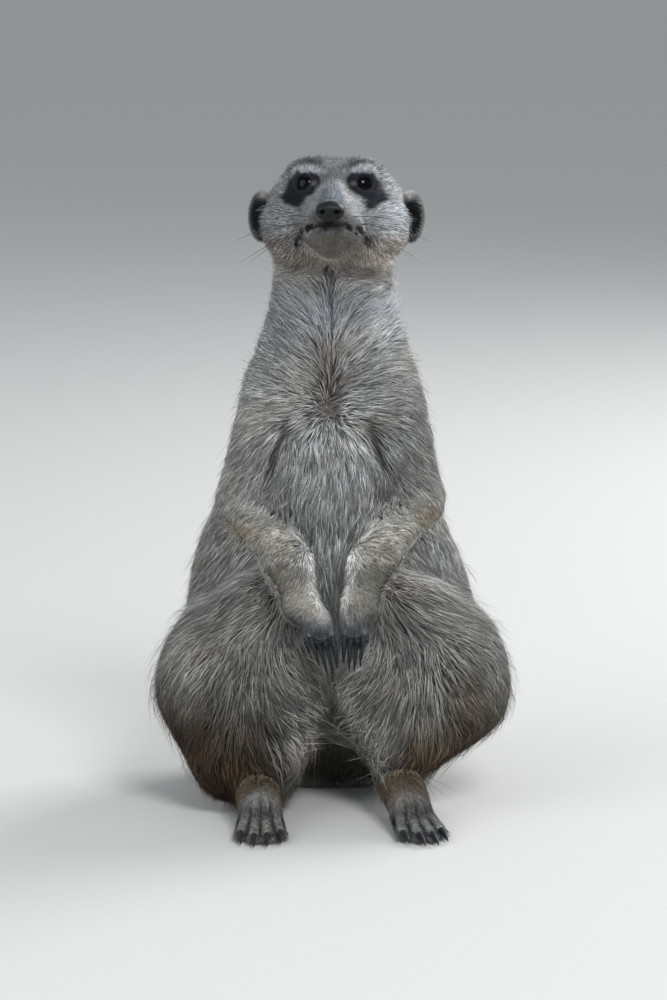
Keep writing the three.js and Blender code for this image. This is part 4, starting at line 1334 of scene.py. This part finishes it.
def nose_field(p):
    q = to_head(p)
    half = folded(q)
    d = ellipsoid(q, NOSE_PAD, NOSE_PAD_RADII)
    d = blend(d, ellipsoid(half, (2.8, 25.2, -14.2), (2.4, 3.6, 2.7)), 1.5)
    d = blend(d, ellipsoid(q, (0, 25.6, -16.8), (2.0, 3.0, 2.2)), 1.5)
    nostril = cone(half, (2.3, 29.4, -14.7), (2.7, 27.6, -15.0), 0.75, 0.6)
    nostril = np.minimum(nostril, cone(half, (2.6, 28.8, -14.9), (4.9, 27.2, -15.2), 0.65, 0.3))
    d = carve(d, nostril, 0.5)
    return carve(d, cone(q, (0, 30, -12.5), (0, 28.8, -20), 0.25, 0.3), 0.7)


NOSE_STEP, NOSE_KEPT = 0.32, 1.5
tip_of_nose = from_head(column((0, 25.4, -14.6)))[:, 0]
nose_volume = Volume(nose_field, tip_of_nose - 9, tip_of_nose + 9, NOSE_STEP, NOSE_KEPT, NOSE_KEPT)
nose_points, nose_faces = nose_volume.mesh()
nose = new_object("nose_pad", nose_points, nose_faces)
nose_q = folded(to_head(nose_points.T))
# painted shade: the nose leather is darker in the hollows of the nostrils
inside = ramp(length(nose_q - column((2.6, 28.6, -14.9))), 1.7, 0.7)
give(nose.data, "tint", mix(shade(12, 13, 16), shade(3, 3, 4), inside).T, "FLOAT_COLOR")
hand_in(nose, NOSE_LEATHER, "nose_leather", "nose")


def spike_tree():
    """A tree for a tapering spike that runs along +Y and bends towards -Z, in metres."""
    tree = bpy.data.node_groups.new("spike", "GeometryNodeTree")
    sockets = {}
    for name, kind in (("Reach", "Float"), ("Radius", "Float"), ("Bend", "Float"),
                       ("Sides", "Int"), ("Finish", "Material")):
        socket = tree.interface.new_socket(name, in_out="INPUT", socket_type="NodeSocket" + kind)
        sockets[name] = socket.identifier
    tree.interface.new_socket("Geometry", in_out="OUTPUT", socket_type="NodeSocketGeometry")
    given = tree.nodes.new("NodeGroupInput").outputs

    def feed(socket, value):
        if isinstance(value, bpy.types.NodeSocket):
            tree.links.new(value, socket)
        else:
            socket.default_value = value

    def node(kind, **values):
        made = tree.nodes.new(kind)
        for name, value in values.items():
            feed(made.inputs[name.replace("_", " ")], value)
        return made.outputs[0]

    def maths(operation, a, b):
        made = tree.nodes.new("ShaderNodeMath")
        made.operation = operation
        feed(made.inputs[0], a)
        feed(made.inputs[1], b)
        return made.outputs[0]

    line = node("GeometryNodeCurvePrimitiveLine", End=(0, MM, 0))
    path = node("GeometryNodeResampleCurve", Curve=line, Count=12)
    along = node("GeometryNodeSplineParameter")
    fall = maths("MULTIPLY", maths("MULTIPLY", along, along), maths("MULTIPLY", given["Bend"], -1.0))
    place = node("ShaderNodeCombineXYZ", Y=maths("MULTIPLY", along, given["Reach"]), Z=fall)
    bent = node("GeometryNodeSetPosition", Geometry=path, Position=place)
    taper = maths("POWER", maths("SUBTRACT", 1.02, maths("POWER", along, 1.7)), 0.75)
    ring = node("GeometryNodeCurvePrimitiveCircle", Resolution=given["Sides"], Radius=1.0)
    tube = node("GeometryNodeCurveToMesh", Curve=bent, Profile_Curve=ring, Fill_Caps=True,
                Scale=maths("MULTIPLY", taper, given["Radius"]))
    smooth = node("GeometryNodeSetShadeSmooth", Geometry=tube)
    real = node("GeometryNodeRealizeInstances", Geometry=smooth)
    finished = node("GeometryNodeSetMaterial", Geometry=real, Material=given["Finish"])
    feed(tree.nodes.new("NodeGroupOutput").inputs["Geometry"], finished)
    return tree, sockets


SPIKE, SPIKE_SOCKETS = spike_tree()
HIND_CLAW, FORE_CLAW = (8.8, 1.1, 2.8, 10), (1.05, 1.9, 10)      # FORE_CLAW_REACH comes first
CLAW_SINK, CLAW_LIFT = 1.6, 1.1           # how far a hind claw starts inside the toe, and up
spikes = []


def spike(name, start, ahead, over, sizes, finish):
    """A spike from start along ahead, which bends away from over.

    sizes are its reach, its radius at the root and its bend in millimetres, and its sides.
    """
    piece = new_object(name, [(0, 0, 0)], [])
    grower = piece.modifiers.new("spike", "NODES")
    grower.node_group = SPIKE
    reach, radius, bend, sides = sizes
    for socket, value in (("Reach", reach * MM), ("Radius", radius * MM), ("Bend", bend * MM),
                          ("Sides", sides), ("Finish", finish)):
        grower[SPIKE_SOCKETS[socket]] = value
    spikes.append((piece, np.array(start), np.stack([np.cross(ahead, over), ahead, over]), reach))


for name, side in SIDES.items():
    turn = LEG[side]["heading"]
    nails = []
    for i, (_, end) in enumerate(toe_knots(side)):
        start = (end[0] + sin(turn) * (TOE_RADIUS - CLAW_SINK),
                 end[1] - cos(turn) * (TOE_RADIUS - CLAW_SINK), end[2] + CLAW_LIFT)
        nails.append((f"nail_hind_{name}_{i + 1}", start, (sin(turn), -cos(turn), 0.05), HIND_CLAW))
    for i, (_, end) in enumerate(finger_knots(side)):
        start = (end[0], end[1] - 1.0, end[2] - 0.4)
        heading = (CLAW_LEAN[side] - 0.06 * (i - 1.5), -0.2, -1)
        nails.append((f"nail_fore_{name}_{i + 1}", start, heading, (FORE_CLAW_REACH[i], *FORE_CLAW)))
    for label, start, heading, sizes in nails:
        ahead = direction(heading)
        across = direction((ahead[1], -ahead[0], 0))
        spike(label, start, ahead, np.cross(across, ahead), sizes, CLAW)

WHISKERS = [  # from the muzzle: side, forward and up; then which way, and how long
    ((6.5, 19, -15.5), (1, -0.15, 0.14), 17), ((7.5, 17, -17.5), (1, -0.30, -0.02), 33),
    ((8.5, 15, -19.5), (1, -0.35, -0.25), 31), ((8.2, 13, -17), (1, -0.45, 0.06), 28),
    ((7.8, 16, -20.5), (0.9, -0.1, -0.55), 19), ((9.5, 12, -20), (1, -0.5, -0.25), 27),
]
WHISKER_RADIUS, WHISKER_SAG, WHISKER_SIDES = 0.15, 0.17, 5
for name, side in SIDES.items():
    for i, (start, way, reach) in enumerate(WHISKERS):
        ahead = direction(HEAD_AXES.T @ (np.array(way) * (side, 1, 1)))
        over = direction((0, 0, 1) - ahead * ahead[2])
        spike(f"whisker_{name}_{i + 1}", from_head(column(start) * column((side, 1, 1)))[:, 0],
              ahead, over, (reach, WHISKER_RADIUS, WHISKER_SAG * reach, WHISKER_SIDES), WHISKER)

view = bpy.context.evaluated_depsgraph_get()
for piece, start, axes, reach in spikes:
    grown = bpy.data.meshes.new_from_object(piece.evaluated_get(view))
    piece.modifiers.clear()
    piece.data = grown
    local = mesh_arrays(grown)[0]
    grown.vertices.foreach_set("co", ((start + local @ axes) * MM).astype(np.float32).ravel())
    outward(piece)
    along = np.clip(local[:, 1] / reach, 0, 1)
    if piece.name.startswith("nail"):
        colours = mix(shade(42, 44, 50), shade(15, 16, 20), along)
        slot, node = "claw", piece.name.replace("nail", "claw")
    else:
        colours = mix(shade(48, 44, 42), shade(40, 37, 36), along)
        slot, node = "coat_dark", "head"
    give(piece.data, "tint", colours.T, "FLOAT_COLOR")
    hand_in(piece, None, slot, node)

# ---------------------------------------------------------------- floor, light and camera

FAR = 60_000                              # to the floor's edges, in millimetres
SKY_COLOUR, SKY_STRENGTH = (0.62, 0.65, 0.68, 1), 0.75
VIEW_HEIGHT, SENSOR = 0.390, 36           # metres in view where the camera aims; millimetres
floor = new_object("floor", [(-FAR, -FAR, 0), (FAR, -FAR, 0), (FAR, FAR, 0), (-FAR, FAR, 0)],
                   [(0, 1, 2, 3)], smooth=False)
floor_finish, _, _ = new_material("floor", Base_Color=(0.55, 0.55, 0.54, 1), Roughness=0.8)
floor.data.materials.append(floor_finish)

world = bpy.data.worlds.new("studio")
world.use_nodes = True
world.node_tree.nodes["Background"].inputs["Color"].default_value = SKY_COLOUR
world.node_tree.nodes["Background"].inputs["Strength"].default_value = SKY_STRENGTH
bpy.context.scene.world = world


def lamp(name, place, power, size):
    data = bpy.data.lights.new(name, "AREA")
    data.energy, data.size = power, size
    light = bpy.data.objects.new(name, data)
    light.location = place
    light.rotation_mode = "QUATERNION"
    light.rotation_quaternion = (Vector((0, 0, 0.14)) - light.location).to_track_quat("-Z", "Y")
    bpy.context.scene.collection.objects.link(light)


lamp("key", (0.5, -1.2, 1.3), 19, 0.6)
lamp("fill", (-1.3, -0.8, 0.8), 12, 1.4)
lamp("rim", (0.9, 0.8, 0.9), 18, 0.7)

aim, distance, elevation = Vector((0, 0, 0.1142)), 1.4, radians(10)
back = Vector((0, -cos(elevation), sin(elevation)))
lens = bpy.data.cameras.new("camera")
lens.sensor_width, lens.lens = SENSOR, SENSOR * distance / VIEW_HEIGHT
camera = bpy.data.objects.new("camera", lens)
camera.location = aim + back * distance
camera.rotation_mode = "QUATERNION"
camera.rotation_quaternion = (-back).to_track_quat("-Z", "Y")
bpy.context.scene.collection.objects.link(camera)
bpy.context.scene.camera = camera
bpy.context.scene.view_settings.view_transform = "Standard"
